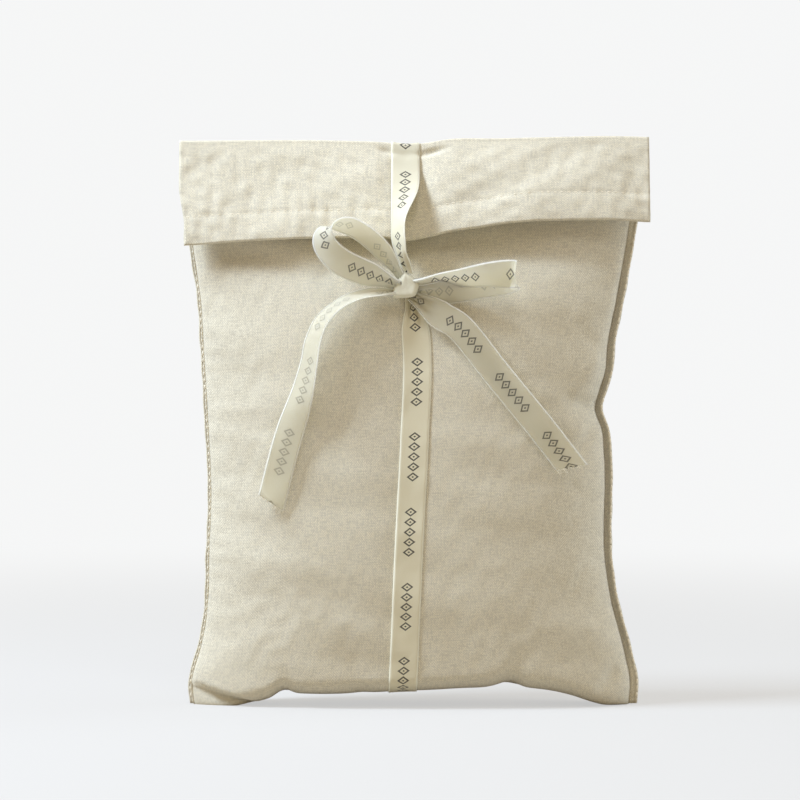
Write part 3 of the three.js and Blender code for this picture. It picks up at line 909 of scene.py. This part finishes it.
def body_grid(sizes):
    """Outer side of the cloth from the front mouth down, under and up the back."""
    u = np.linspace(-1, 1, BODY_COLUMNS + 1)
    s = 0.55 * np.sin(u * math.pi / 2) + 0.45 * u
    foot = underside(x_across(sizes, sizes.fold_rise, s))
    low = foot + sizes.fold_rise
    flat = sizes.foot_share * lerp(1, 0.3, np.clip(foot / 0.006, 0, 1))
    rows = []
    for v in np.linspace(0, 1, FRONT_ROWS, endpoint=False):
        z = lerp(sizes.mouth_height, low, v)
        rows.append((z, -depth(sizes, front_belly, z, s)))
    for v in np.linspace(1, -1, FOLD_ROWS, endpoint=False):
        reach, side = abs(v), math.copysign(1, v)
        turn = max(0, (reach - 1 / 3) * 1.5) * math.pi / 2
        share = min(1, reach * 3) * flat + (1 - flat) * math.sin(turn)
        belly = front_belly if v > 0 else back_belly
        z = foot + sizes.fold_rise * (1 - math.cos(turn))
        rows.append((z, -side * share * depth(sizes, belly, low, s)))
    for v in np.linspace(0, 1, BACK_ROWS + 1):
        z = lerp(low, sizes.back_join, v)
        rows.append((z, depth(sizes, back_belly, z, s)))
    z, y = np.moveaxis(np.array(rows), 1, 0)
    x = x_across(sizes, z, s)
    front = y < 0
    grid = np.stack([x, y + sizes.seam_plane, z], axis=2)

    held = np.minimum(crown(s) * 1.6, 1)
    near_mouth = smooth(z, sizes.mouth_height - BODY_WAVES_STOP, sizes.mouth_height)
    above = smooth(z, *BODY_WAVES_RISE) * (1 - near_mouth)
    waves = ripple(x, z, *BODY_WAVES, SEED) * BODY_WAVE_HEIGHT
    waves = (waves + ripple(x, z, *BODY_FINE_WAVES, SEED + 2) * BODY_FINE_HEIGHT) * held
    beat = np.sin(z * 2 * math.pi / EDGE_PUCKER_PITCH + 3 * np.sin(z * 90))
    pucker = np.exp(-(1 - np.abs(s)) / 0.07) * beat
    out = waves + EDGE_PUCKER * pucker * np.minimum(crown(s) * 6, 1)
    out = out * above - creased(FRONT_CREASES, x, z) * front * np.minimum(crown(s) * 2.5, 1)

    ear = np.clip(1 - (x - EAR_X) / EAR_LENGTH, 0, 1) * EAR_HEIGHT
    down = np.clip((ear - z) / np.maximum(ear, 0.001), 0, 1)
    squeeze = EAR_SQUEEZE * smooth(ear - z, -EAR_SOFTNESS, EAR_SOFTNESS) * (1 - 0.75 * down) * front
    grid[..., 1] -= (grid[..., 1] - sizes.seam_plane) * squeeze
    return grid + normals(grid) * out[..., None], s


def blurred(field, passes):
    """A grid of values evened out with its neighbours."""
    for _ in range(passes):
        padded = np.pad(field, ((1, 1), (1, 1), (0, 0)), mode="edge")
        beside = padded[:-2, 1:-1] + padded[2:, 1:-1] + padded[1:-1, :-2] + padded[1:-1, 2:]
        field = (beside + 2 * field) / 6
    return field


def settled(grid):
    """How a simulation of slightly loose, filled cloth wrinkles the grid, without its broad swelling."""
    coarse = grid[::SIM_STEP, ::SIM_STEP]
    rows, columns = coarse.shape[:2]
    at = np.arange(rows * columns).reshape(rows, columns)
    loose = solid("loose_cloth", coarse.reshape(-1, 3).tolist(), quads(at).tolist())
    held = loose.vertex_groups.new(name="held")
    edge = np.concatenate([at[0], at[-1], at[:, 0], at[:, -1], at[coarse[..., 2] < SIM_HELD_BELOW]])
    held.add(np.unique(edge).tolist(), 1.0, "REPLACE")
    cloth = loose.modifiers.new("cloth", "CLOTH")
    for key, value in SIM_CLOTH.items():
        setattr(cloth.settings, key, value)
    cloth.settings.effector_weights.gravity = 0
    cloth.point_cache.frame_end = SIM_FRAMES
    for now in range(1, SIM_FRAMES + 1):
        bpy.context.scene.frame_set(now)
    shown = loose.evaluated_get(bpy.context.evaluated_depsgraph_get())
    points = np.empty(rows * columns * 3)
    shown.data.vertices.foreach_get("co", points)
    moved = points.reshape(rows, columns, 3) - coarse
    bpy.data.objects.remove(loose)
    bpy.context.scene.frame_set(1)
    down = np.linspace(0, rows - 1, grid.shape[0])[:, None]
    over = np.linspace(0, columns - 1, grid.shape[1])[None, :]
    return np.clip(sample(moved - blurred(moved, SIM_BLUR), down, over), -SIM_LIMIT, SIM_LIMIT)


class POUCH_OT_body(bpy.types.Operator):
    """Builds the filled body: front, bottom and back in one length of canvas"""

    bl_idname = "pouch.body"
    bl_label = "Body Cloth"

    def execute(self, context):
        sizes = context.scene.pouch_sizes
        grid, s = body_grid(sizes)
        height = grid[..., 2:]
        below = 1 - smooth(height, *SIM_FADES)
        grid = grid + settled(grid) * SIM_SHARE * below * smooth(height, *SIM_RISES)
        along = -lengths(grid[:, BODY_COLUMNS // 2])
        piece = cloth_shell("body_cloth", grid, sizes.cloth, s * sizes.flat_width / 2, along[:, None])
        dress(piece, "canvas cloth", "pouch")
        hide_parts("front_panel", "back_panel", "bottom_fold")
        return {"FINISHED"}


def seam_grid(sizes, edge, width, inward, recess):
    """Rounded section of a sewn side edge with a bead outside, repeated from the floor to the mouth."""
    z = np.linspace(SEAM_END, sizes.mouth_height - SEAM_END, SEAM_ROWS)[:, None]
    turn = np.linspace(0, 2 * math.pi, SEAM_POINTS)[None, :]
    half = width / 2 + SEAM_OVERLAP
    bulge = np.sign(np.cos(turn)) * np.abs(np.cos(turn)) ** 0.7
    groove = 1 - SEAM_GROOVE * np.exp(-(((bulge - SEAM_GROOVE_AT) / SEAM_GROOVE_WIDTH) ** 2))
    wander = SEAM_WANDER * ripple(z, z * 0, *SEAM_WAVES, SEED)
    x = edge(sizes, z) + inward * (half - half * bulge) + wander
    near_mouth = smooth(z, *(sizes.mouth_height - stop for stop in RECESS_STOP))
    low = smooth(z, *RECESS_RISE) * (1 - near_mouth)
    sunk = recess * low * (1 - smooth(bulge, 0, 0.4))
    y = sizes.seam_plane + sunk - np.sin(turn) * SEAM_HALF_DEPTH * groove
    return np.stack(np.broadcast_arrays(x, y, z), axis=2)


class POUCH_OT_seams(bpy.types.Operator):
    """Builds the sewn side edges"""

    bl_idname = "pouch.seams"
    bl_label = "Side Seams"

    def execute(self, context):
        sizes = context.scene.pouch_sizes
        left_grid = seam_grid(sizes, left_edge, sizes.left_seam, 1, 0)
        right_grid = seam_grid(sizes, right_edge, sizes.right_seam, -1, RIGHT_SEAM_RECESS)
        left = tube("left_seam", left_grid)
        right = tube("right_seam", right_grid[:, ::-1])
        dress(left, "canvas cloth", "pouch")
        dress(right, "canvas cloth", "pouch")
        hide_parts("left_side_seam")
        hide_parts("right_side_seam")
        return {"FINISHED"}


class POUCH_OT_mouth_hem(bpy.types.Operator):
    """Builds the turned hem inside the front mouth"""

    bl_idname = "pouch.mouth_hem"
    bl_label = "Mouth Hem"

    def execute(self, context):
        sizes = context.scene.pouch_sizes
        body = skin_of("body_cloth")
        inside = body - normals(body) * (sizes.cloth + HEM_GAP)
        height = body[:FRONT_ROWS, BODY_COLUMNS // 2, 2]
        last = int(np.argmin(np.abs(height - sizes.mouth_height + sizes.hem_depth)))
        skin = inside[: last + 1, HEM_INSET_COLUMNS:-HEM_INSET_COLUMNS][:, ::-1]
        along = lengths(skin[:, skin.shape[1] // 2])
        piece = cloth_shell("mouth_hem", skin, sizes.cloth, skin[:1, :, 0], along[:, None])
        dress(piece, "canvas cloth", "pouch")
        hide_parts("front_mouth_hem")
        return {"FINISHED"}


def flap_grid(sizes):
    """Outer side of the flap: from the back over the top fold, down, round the hem's lip and up behind."""
    share = np.linspace(-1, 1, FLAP_COLUMNS + 1)
    x = x_across(sizes, sizes.crest_height, share)
    side = x / (sizes.flat_width / 2)
    radius = sizes.edge
    turn_z = crest(x) - radius
    drop = flap_depth(x) - radius
    reach = lerp(sizes.flap_reach, sizes.flap_reach_corner, side**2)
    rows = []
    for t in np.linspace(0, 1, FLAP_BACK_ROWS, endpoint=False):
        z = lerp(sizes.back_join, sizes.crest_height - radius, t)
        y = depth(sizes, back_belly, z, share)
        rows.append((y, lerp(sizes.back_join, turn_z, t), x_across(sizes, z, share)))
    for a in np.linspace(0, math.pi, FLAP_ROLL_ROWS, endpoint=False):
        rows.append((radius * math.cos(a) + 0 * x, turn_z + radius * math.sin(a), x))

    def front(t):
        """Depth and height of the flap's front at share t down it, its slope, the way it faces, and x."""
        y = -radius - reach * (1.25 * t - 0.25 * t * t)
        z = turn_z - t * drop
        slope = np.stack([-reach * (1.25 - 0.5 * t), -drop])
        slope = slope / np.linalg.norm(slope, axis=0)
        facing = np.stack([slope[1], -slope[0]])
        below = (1 - t) * drop
        stitched = below - sizes.hem_depth
        out = ripple(x, z, *FLAP_WAVES, SEED + 1) * FLAP_WAVE_HEIGHT * smooth(t, 0, 0.4)
        out = out + ripple(x, z, *FLAP_FINE_WAVES, SEED + 3) * FLAP_FINE_HEIGHT * smooth(t, 0, 0.15)
        out = out - creased(FLAP_CREASES, x, z) * smooth(t, 0, 0.08)
        out = out - HEM_GROOVE * np.exp(-((stitched / HEM_GROOVE_WIDTH) ** 2))
        out = out + HEM_SWELL * smooth(-stitched, 0, HEM_SWELL_RISE) * smooth(below, *HEM_SWELL_END)
        beat = np.sin(x * 2 * math.pi / HEM_PUCKER_PITCH)
        out = out + HEM_PUCKER * np.exp(-np.abs(stitched) / HEM_PUCKER_REACH) * beat
        pull = FLAP_CORNER_PULL * smooth(t, 0.4, 0.85) * np.clip(-side, 0, 1) ** 4
        return np.stack([y, z]) + facing * out, slope, facing, x + pull

    for t in np.linspace(0, 1, FLAP_FRONT_ROWS):
        place, slope, facing, across = front(t)
        rows.append((*place, across))
    centre = place - facing * sizes.lip
    for a in np.linspace(0, math.pi, FLAP_LIP_ROWS + 1)[1:-1]:
        away = facing * math.cos(a) + slope * math.sin(a)
        rows.append((*(centre + away * sizes.lip), across))
    for t in np.linspace(0, 1, FLAP_HEM_ROWS):
        place, slope, facing, across = front(1 - t * sizes.hem_depth / drop.mean())
        rows.append((*(place - facing * 2 * sizes.lip), across))
    y, z, x = np.moveaxis(np.array(rows), 1, 0)
    return np.stack([x, y + sizes.seam_plane, z], axis=2)


class POUCH_OT_flap(bpy.types.Operator):
    """Builds the flap with its hem, bending over the top fold"""

    bl_idname = "pouch.flap"
    bl_label = "Flap Cloth"

    def execute(self, context):
        sizes = context.scene.pouch_sizes
        grid = flap_grid(sizes)
        along = lengths(grid[:, FLAP_COLUMNS // 2])
        piece = cloth_shell("flap_cloth", grid, sizes.cloth, grid[:1, :, 0], along[:, None])
        dress(piece, "canvas cloth", None)
        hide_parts("flap_panel", "flap_hem")
        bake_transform(piece)
        return {"FINISHED"}


def stitches(name, points, outward, length, radius):
    """A row of short sunk stitches, each lying along the row."""
    run = unit(np.gradient(points, axis=0))
    out = unit(outward)
    turn = np.arange(STITCH_SIDES)[:, None, None] * 2 * math.pi / STITCH_SIDES
    around = np.cos(turn) * np.cross(run, out) + np.sin(turn) * out
    rings = []
    for t in (-1, -0.7, 0, 0.7, 1):
        swell = radius * math.sqrt(max(0.06, 1 - t * t))
        middle = points + run * t * length / 2 - out * radius * 1.1 * t * t
        rings.append(middle + swell * around)
    return rods(name, np.moveaxis(np.array(rings), 2, 0))


class POUCH_OT_stitching(bpy.types.Operator):
    """Sews the flap's hem and both side edges"""

    bl_idname = "pouch.stitching"
    bl_label = "Stitching"

    def execute(self, context):
        sizes = context.scene.pouch_sizes
        pitch = sizes.stitch_pitch
        front = skin_of("flap_cloth")[FLAP_FIRST_FRONT : FLAP_FIRST_FRONT + FLAP_FRONT_ROWS]
        x = front[0, :, 0]
        at = np.arange(x[0] + 0.002, x[-1] - 0.001, pitch)
        row = (1 - sizes.hem_depth / (flap_depth(at) - sizes.edge)) * (FLAP_FRONT_ROWS - 1)
        column = np.interp(at, x, np.arange(len(x)))
        out = normals(front)[row.astype(int), column.astype(int)]
        share, radius = HEM_STITCHES
        hem = stitches("flap_hem_stitches", sample(front, row, column), out, pitch * share, radius)
        dress(hem, "sewing thread", "flap")
        z = np.arange(0.004, sizes.mouth_height - 0.003, pitch)
        forward = np.tile([0.0, -1.0, 0.0], (len(z), 1))
        edges = (
            ("left_edge_stitches", left_edge, LEFT_STITCHES),
            ("right_edge_stitches", right_edge, RIGHT_STITCHES),
        )
        for name, edge, (right, ahead, share, radius) in edges:
            line = np.stack([edge(sizes, z) + right, z * 0 + sizes.seam_plane - ahead, z], axis=1)
            sewn = stitches(name, line, forward, pitch * share, radius)
            dress(sewn, "sewing thread", "pouch")
        return {"FINISHED"}


def tape_shell(name, middle, across, along, sizes, flipped=False):
    """A closed length of tape whose middle surface is the given grid."""
    out = normals(middle) * sizes.tape / 2
    if flipped:
        return shell(name, (middle - out)[:, ::-1], (middle + out)[:, ::-1], across, along)
    return shell(name, middle + out, middle - out, across, along)


def gather(sizes, distance):
    """Width of the tape at a distance from the knot."""
    return lerp(sizes.gathered, sizes.tape_width, smooth(distance, 0, sizes.gather_length))


def pleats(sizes, width, place):
    """How far gathered tape folds in and out across itself."""
    return PLEAT * (1 - width / sizes.tape_width) * np.cos(place * 2 * math.pi * PLEAT_WAVES)


class POUCH_OT_tape_wrap(bpy.types.Operator):
    """Runs the tape from the knot down the front, under and up the back"""

    bl_idname = "pouch.tape_wrap"
    bl_label = "Tape Wrap"

    def execute(self, context):
        sizes = context.scene.pouch_sizes
        body = skin_of("body_cloth")
        out = normals(body)
        middle_line = body[:, BODY_COLUMNS // 2]
        knot_end = KNOT_Z - KNOT_HALF_HEIGHT + KNOT_OVERLAP
        start = int(np.searchsorted(-middle_line[:FRONT_ROWS, 2], -knot_end))
        across = np.linspace(-0.5, 0.5, TAPE_COLUMNS + 1)
        travelled = lengths(middle_line[start:])
        rows = []
        for r in range(start, body.shape[0]):
            z = middle_line[r, 2]
            centre = float(front_tape_x(z))
            if r > BOTTOM_ROW:
                centre = lerp(*BACK_TAPE_X, min(1, z / sizes.crest_height))
            width = gather(sizes, travelled[r - start] - KNOT_OVERLAP)
            lift = WRAP_GAP + sizes.tape / 2 + pleats(sizes, width, across)
            lift = lift + WRAP_GATHERED_LIFT * (1 - width / sizes.tape_width)
            point, facing = across_row(body[r], out[r], centre + across * width)
            rows.append(point + facing * lift[:, None])
        pitch = context.scene.pouch_look.motif_pitch
        miss = (FLAP_PRINT_START - WRAP_PRINT_START - travelled[-1] + pitch / 2) % pitch - pitch / 2
        printed = miss * smooth(travelled, travelled[BOTTOM_ROW - start], travelled[-1])
        printed = WRAP_PRINT_START + travelled + printed
        piece = tape_shell("tape_wrap", np.array(rows), across * sizes.tape_width, printed[:, None], sizes)
        dress(piece, "held tape", "pouch")
        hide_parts("tape_front_run", "tape_under_run", "tape_back_run")
        return {"FINISHED"}


class POUCH_OT_tape_over(bpy.types.Operator):
    """Runs the tape from the back over the top fold and down the flap to the knot"""

    bl_idname = "pouch.tape_over"
    bl_label = "Tape Over Flap"

    def execute(self, context):
        sizes = context.scene.pouch_sizes
        flap = skin_of("flap_cloth")
        out = normals(flap)
        across = np.linspace(-0.5, 0.5, TAPE_COLUMNS + 1)
        from_left = (across + 0.5)[:, None]
        x = FLAP_TAPE_LEFT_X + from_left[:, 0] * sizes.tape_width
        rows = []
        for r in range(FLAP_FIRST_FRONT + FLAP_FRONT_ROWS):
            t = max(0, (r - FLAP_FIRST_FRONT) / (FLAP_FRONT_ROWS - 1))
            point, facing = across_row(flap[r], out[r], x)
            hugging = point + facing * (FLAP_GAP + sizes.tape / 2)
            turn = FLAP_TAPE_TWIST * smooth(t, 0.25, 1)
            side = np.array((math.cos(turn), 0, 0)) + math.sin(turn) * OFF_FLAP
            left = point[0] + OFF_FLAP * lerp(*FLAP_TAPE_LIFT, smooth(t, 0.1, 0.5))
            free = left + from_left * sizes.tape_width * side
            rows.append(lerp(hugging, free, smooth(t, 0, 0.35)))
        begin = rows[-1][0]
        leave = begin + unit(begin - rows[-4][0]) * FLAP_TAPE_LEAVE
        arrive = KNOT_ENTRY - KNOT_ARRIVE
        for t in np.linspace(0, 1, TAPE_FREE_ROWS)[1:]:
            a, b = (1 - t) ** 3, 3 * (1 - t) ** 2 * t
            c, d = 3 * (1 - t) * t * t, t**3
            left = a * begin + b * leave + c * arrive + d * KNOT_ENTRY
            width = lerp(sizes.tape_width, sizes.gathered, smooth(t, 0.1, 0.9))
            turn = lerp(FLAP_TAPE_TWIST, KNOT_TAPE_TWIST, smooth(t, 0.4, 1))
            side = np.array((math.cos(turn), -math.sin(turn), 0.05))
            fold = np.array((math.sin(turn), math.cos(turn), 0))
            pleat = pleats(sizes, width, across)
            rows.append(left + from_left * width * side + pleat[:, None] * fold)
        middle = np.array(rows)
        along = lengths(middle[:, TAPE_COLUMNS // 2])[:, None] + FLAP_PRINT_START
        piece = tape_shell("tape_over_flap", middle, across * sizes.tape_width, along, sizes)
        dress(piece, "flap tape", None)
        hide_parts("tape_flap_run")
        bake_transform(piece)
        return {"FINISHED"}


class POUCH_OT_knot(bpy.types.Operator):
    """Builds the folded knot of the bow"""

    bl_idname = "pouch.knot"
    bl_label = "Bow Knot"

    def execute(self, context):
        sizes = context.scene.pouch_sizes
        outline = spline(np.array((*KNOT_OUTLINE, KNOT_OUTLINE[0])) * MM, KNOT_POINTS)
        turn = np.linspace(-0.49, 0.49, KNOT_ROWS)[:, None] * math.pi
        size = np.cos(turn) ** KNOT_ROUNDNESS
        x, z = size * outline[:, 0], size * outline[:, 1]
        fan = np.arctan2(x - outline[0, 0], outline[0, 1] + 0.003 - z)
        ridge = 0.5 - np.abs(fan - KNOT_FOLD_AT) + 0.25 * np.abs(fan / KNOT_FOLD_PITCH % 1 - 0.5)
        y = KNOT_HALF_DEPTH * np.sin(turn) - KNOT_RIDGE * ridge * size * smooth(-turn, 0, 1)
        piece = tube("knot", np.stack([KNOT_X + x, KNOT_Y + y, KNOT_Z + z], axis=2), sizes.tape_width)
        dress(piece, "knot tape", "tie")
        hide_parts("bow_knot")
        return {"FINISHED"}


def free_tape(name, sizes, route, across_route, count, both_ends, flipped, first, slant=0):
    """A free length of tape along its route, gathered at the knot and cut at a slant."""
    centre = spline(np.array(route) * MM, count)
    side = spline(across_route, count)
    run = unit(np.gradient(centre, axis=0))
    side = unit(side - run * np.sum(side * run, axis=1, keepdims=True))
    away = np.cross(side, run)
    along = lengths(centre)
    distance = np.minimum(along, along[-1] - along) if both_ends else along
    width = gather(sizes, distance)[:, None]
    across = np.linspace(-0.5, 0.5, TAPE_COLUMNS + 1)
    cup = CUP * (across[None, :] ** 2 * 4 - 0.33) * np.sin(along * CUP_RATE)[:, None]
    fold = pleats(sizes, width, across[None, :]) + cup * width / sizes.tape_width
    middle = centre[:, None] + side[:, None] * (width * across)[..., None] + away[:, None] * fold[..., None]
    late = smooth(along, along[-1] - CUT_LENGTH, along[-1])[:, None]
    middle = middle + run[:, None] * (late * across * slant)[..., None]
    piece = tape_shell(name, middle, across * sizes.tape_width, along[:, None] + first, sizes, flipped)
    return piece, along[-1], middle[-1], run[-1]


def fray(name, end, run, seed):
    """Loose threads standing out of a cut end."""
    chance = random.Random(seed)
    turn = -np.arange(FRAY_SIDES) * 2 * math.pi / FRAY_SIDES
    ring = np.stack([np.cos(turn), np.sin(turn), 0 * turn], axis=1)
    t = np.linspace(0, 1, FRAY_STEPS)[:, None, None]
    threads = []
    for _ in range(FRAY_THREADS):
        root = lerp(end[0], end[-1], chance.random())
        lean = np.array([chance.uniform(-FRAY_LEAN, FRAY_LEAN) for _ in range(3)])
        length = chance.uniform(*FRAY_LENGTHS)
        middle = root - run * FRAY_ROOT + (run + lean * t) * length * t
        threads.append(middle + ring * FRAY_RADIUS * (1 - 0.5 * t))
    return rods(name, np.array(threads))


class POUCH_OT_loops(bpy.types.Operator):
    """Builds the two loops of the bow"""

    bl_idname = "pouch.loops"
    bl_label = "Bow Loops"

    def execute(self, context):
        sizes = context.scene.pouch_sizes
        for node, route, across, first in LOOPS:
            name = node + "_tape"
            piece, length, _, _ = free_tape(name, sizes, route, across, LOOP_ROWS, True, True, first)
            dress(piece, "loop tape", "tie")
            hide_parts(node)
        return {"FINISHED"}


class POUCH_OT_tails(bpy.types.Operator):
    """Builds the two cut ends of the tape with their loose threads"""

    bl_idname = "pouch.tails"
    bl_label = "Bow Tails"

    def execute(self, context):
        sizes = context.scene.pouch_sizes
        for node, route, across, first, flipped, slant in TAILS:
            made = free_tape(node + "_tape", sizes, route, across, TAIL_ROWS, False, flipped, first, slant)
            piece, length, end, run = made
            dress(piece, "tail tape", None)
            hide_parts(node)
            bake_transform(piece)
            threads = fray(node + "_fray", end, run, SEED + len(node))
            dress(threads, "sewing thread", node)
        return {"FINISHED"}


class POUCH_OT_cloth(bpy.types.Operator):
    bl_idname = "pouch.cloth"
    bl_label = "Cloth Cuts"

    def execute(self, context):
        sizes = context.scene.pouch_sizes
        named = bpy.data.objects
        sewn = [named["left_seam"], named["right_seam"], named["mouth_hem"]]
        sewn += [named["left_edge_stitches"], named["right_edge_stitches"]]
        hem = [named["flap_hem_stitches"]]
        cuts = (
            ("body_cloth", BODY_COLUMNS, "stretched", "floor", sewn),
            ("flap_cloth", FLAP_COLUMNS, "folded", "body_cloth", hem),
        )
        for name, columns, held, below, joined in cuts:
            flat = (sizes.flat_width, float(lengths(skin_of(name)[:, columns // 2])[-1]))
        return {"FINISHED"}


def floor_material():
    """A pale floor that fades into the backdrop away from the pouch."""
    n, shader = start_material("floor")
    seen = n.add("ShaderNodeLightPath").outputs["Is Camera Ray"]
    n.fill(shader, Base_Color=n.mix(seen, FLOOR_BOUNCE, FLOOR_SEEN), Roughness=1.0, Specular_IOR_Level=0.0)
    away = n.add("ShaderNodeVectorMath", {"operation": "LENGTH"})
    n.put(away, 0, n.add("ShaderNodeNewGeometry").outputs["Position"])
    far = n.add("ShaderNodeMapRange", {"interpolation_type": "SMOOTHSTEP"}, Value=away.outputs["Value"])
    n.fill(far, From_Min=FLOOR_FADE[0], From_Max=FLOOR_FADE[1])
    share = n.math("MULTIPLY_ADD", far.outputs[0], 1 - FLOOR_NEAR_GLOW, FLOOR_NEAR_GLOW)
    glow = n.add("ShaderNodeEmission", Color=BACKDROP, Strength=1.0)
    blend = n.add("ShaderNodeMixShader")
    for i, value in enumerate((n.math("MULTIPLY", share, seen), shader.outputs[0], glow.outputs[0])):
        n.put(blend, i, value)
    n.fill(n.tree.nodes["Material Output"], Surface=blend.outputs[0])


def stand(name, data, place, facing=None):
    """Stands a light or a camera at its place, looking along a direction, or straight down without one."""
    made = bpy.data.objects.new(name, data)
    made.location = place
    if facing is not None:
        made.rotation_euler = facing.to_track_quat("-Z", "Y").to_euler()
    bpy.context.scene.collection.objects.link(made)
    return made


def lamp(name, power, kind, place, target=None):
    """A square light of its kind's width and colour, turned to its target if it has one."""
    data = bpy.data.lights.new(name, "AREA")
    data.energy = power
    data.size, data.color = kind
    return stand(name, data, place, None if target is None else target - Vector(place))


class POUCH_OT_stage(bpy.types.Operator):
    """Sets the floor, the backdrop, the light and the camera"""

    bl_idname = "pouch.stage"
    bl_label = "Stage"

    def execute(self, context):
        scene = context.scene
        stage = scene.pouch_stage
        corners = [(x * FLOOR_HALF, y * FLOOR_HALF, 0) for x, y in ((-1, -1), (1, -1), (1, 1), (-1, 1))]
        floor = solid("floor", corners, [(0, 1, 2, 3)])
        floor_material()
        floor.data.materials.append(material("floor"))
        target = Vector(stage.target)
        key_at = target + Vector(KEY_FROM).normalized() * stage.key_distance
        key = lamp("key", stage.key, KEY_LAMP, key_at, target)
        top = lamp("top", stage.top, TOP_LAMP, TOP_AT)
        front = lamp("front", stage.front, FRONT_LAMP, FRONT_AT, target)
        side = lamp("side", stage.side, SIDE_LAMP, SIDE_AT, target)
        world = bpy.data.worlds.new("studio")
        world.use_nodes = True
        n = Nodes(world.node_tree)
        seen = n.add("ShaderNodeLightPath").outputs["Is Camera Ray"]
        n.fill(n.tree.nodes["Background"], Color=n.mix(seen, opaque(FILL_TINT, stage.fill), BACKDROP))
        scene.world = world
        data = bpy.data.cameras.new("camera")
        data.sensor_width = 36
        data.lens = data.sensor_width / 2 / (stage.view_width / 2 / stage.distance)
        back = Vector((0, -math.cos(stage.elevation), math.sin(stage.elevation)))
        camera = stand("camera", data, target + back * stage.distance, -back)
        scene.camera = camera
        scene.view_settings.view_transform = "Standard"
        return {"FINISHED"}


class POUCH_PT_panel(bpy.types.Panel):
    """Lists the steps that build the pouch"""

    bl_idname = "POUCH_PT_panel"
    bl_label = "Envelope Pouch"
    bl_space_type = "VIEW_3D"
    bl_region_type = "UI"
    bl_category = "Pouch"

    def draw(self, context):
        for step in STEPS:
            self.layout.operator(step.bl_idname)
        for group_name, kind in SETTINGS:
            for key in kind.__annotations__:
                self.layout.prop(getattr(context.scene, group_name), key)


STEPS = (
    POUCH_OT_materials,
    POUCH_OT_body,
    POUCH_OT_seams,
    POUCH_OT_mouth_hem,
    POUCH_OT_flap,
    POUCH_OT_stitching,
    POUCH_OT_tape_wrap,
    POUCH_OT_tape_over,
    POUCH_OT_knot,
    POUCH_OT_loops,
    POUCH_OT_tails,
    POUCH_OT_cloth,
    POUCH_OT_stage,
)
SETTINGS = (("pouch_sizes", PouchSizes), ("pouch_look", PouchLook), ("pouch_stage", PouchStage))


def register():
    for key, kind in SETTINGS:
        bpy.utils.register_class(kind)
        setattr(bpy.types.Scene, key, PointerProperty(type=kind))
    for step in STEPS:
        bpy.utils.register_class(step)
    bpy.utils.register_class(POUCH_PT_panel)


def unregister():
    bpy.utils.unregister_class(POUCH_PT_panel)
    for step in reversed(STEPS):
        bpy.utils.unregister_class(step)
    for key, kind in reversed(SETTINGS):
        delattr(bpy.types.Scene, key)
        bpy.utils.unregister_class(kind)


def main():
    register()
    bpy.ops.pouch.materials()
    bpy.ops.pouch.body()
    bpy.ops.pouch.seams()
    bpy.ops.pouch.mouth_hem()
    bpy.ops.pouch.flap()
    bpy.ops.pouch.stitching()
    bpy.ops.pouch.tape_wrap()
    bpy.ops.pouch.tape_over()
    bpy.ops.pouch.knot()
    bpy.ops.pouch.loops()
    bpy.ops.pouch.tails()
    bpy.ops.pouch.cloth()
    bpy.ops.pouch.stage()


if __name__ == "__main__":
    main()
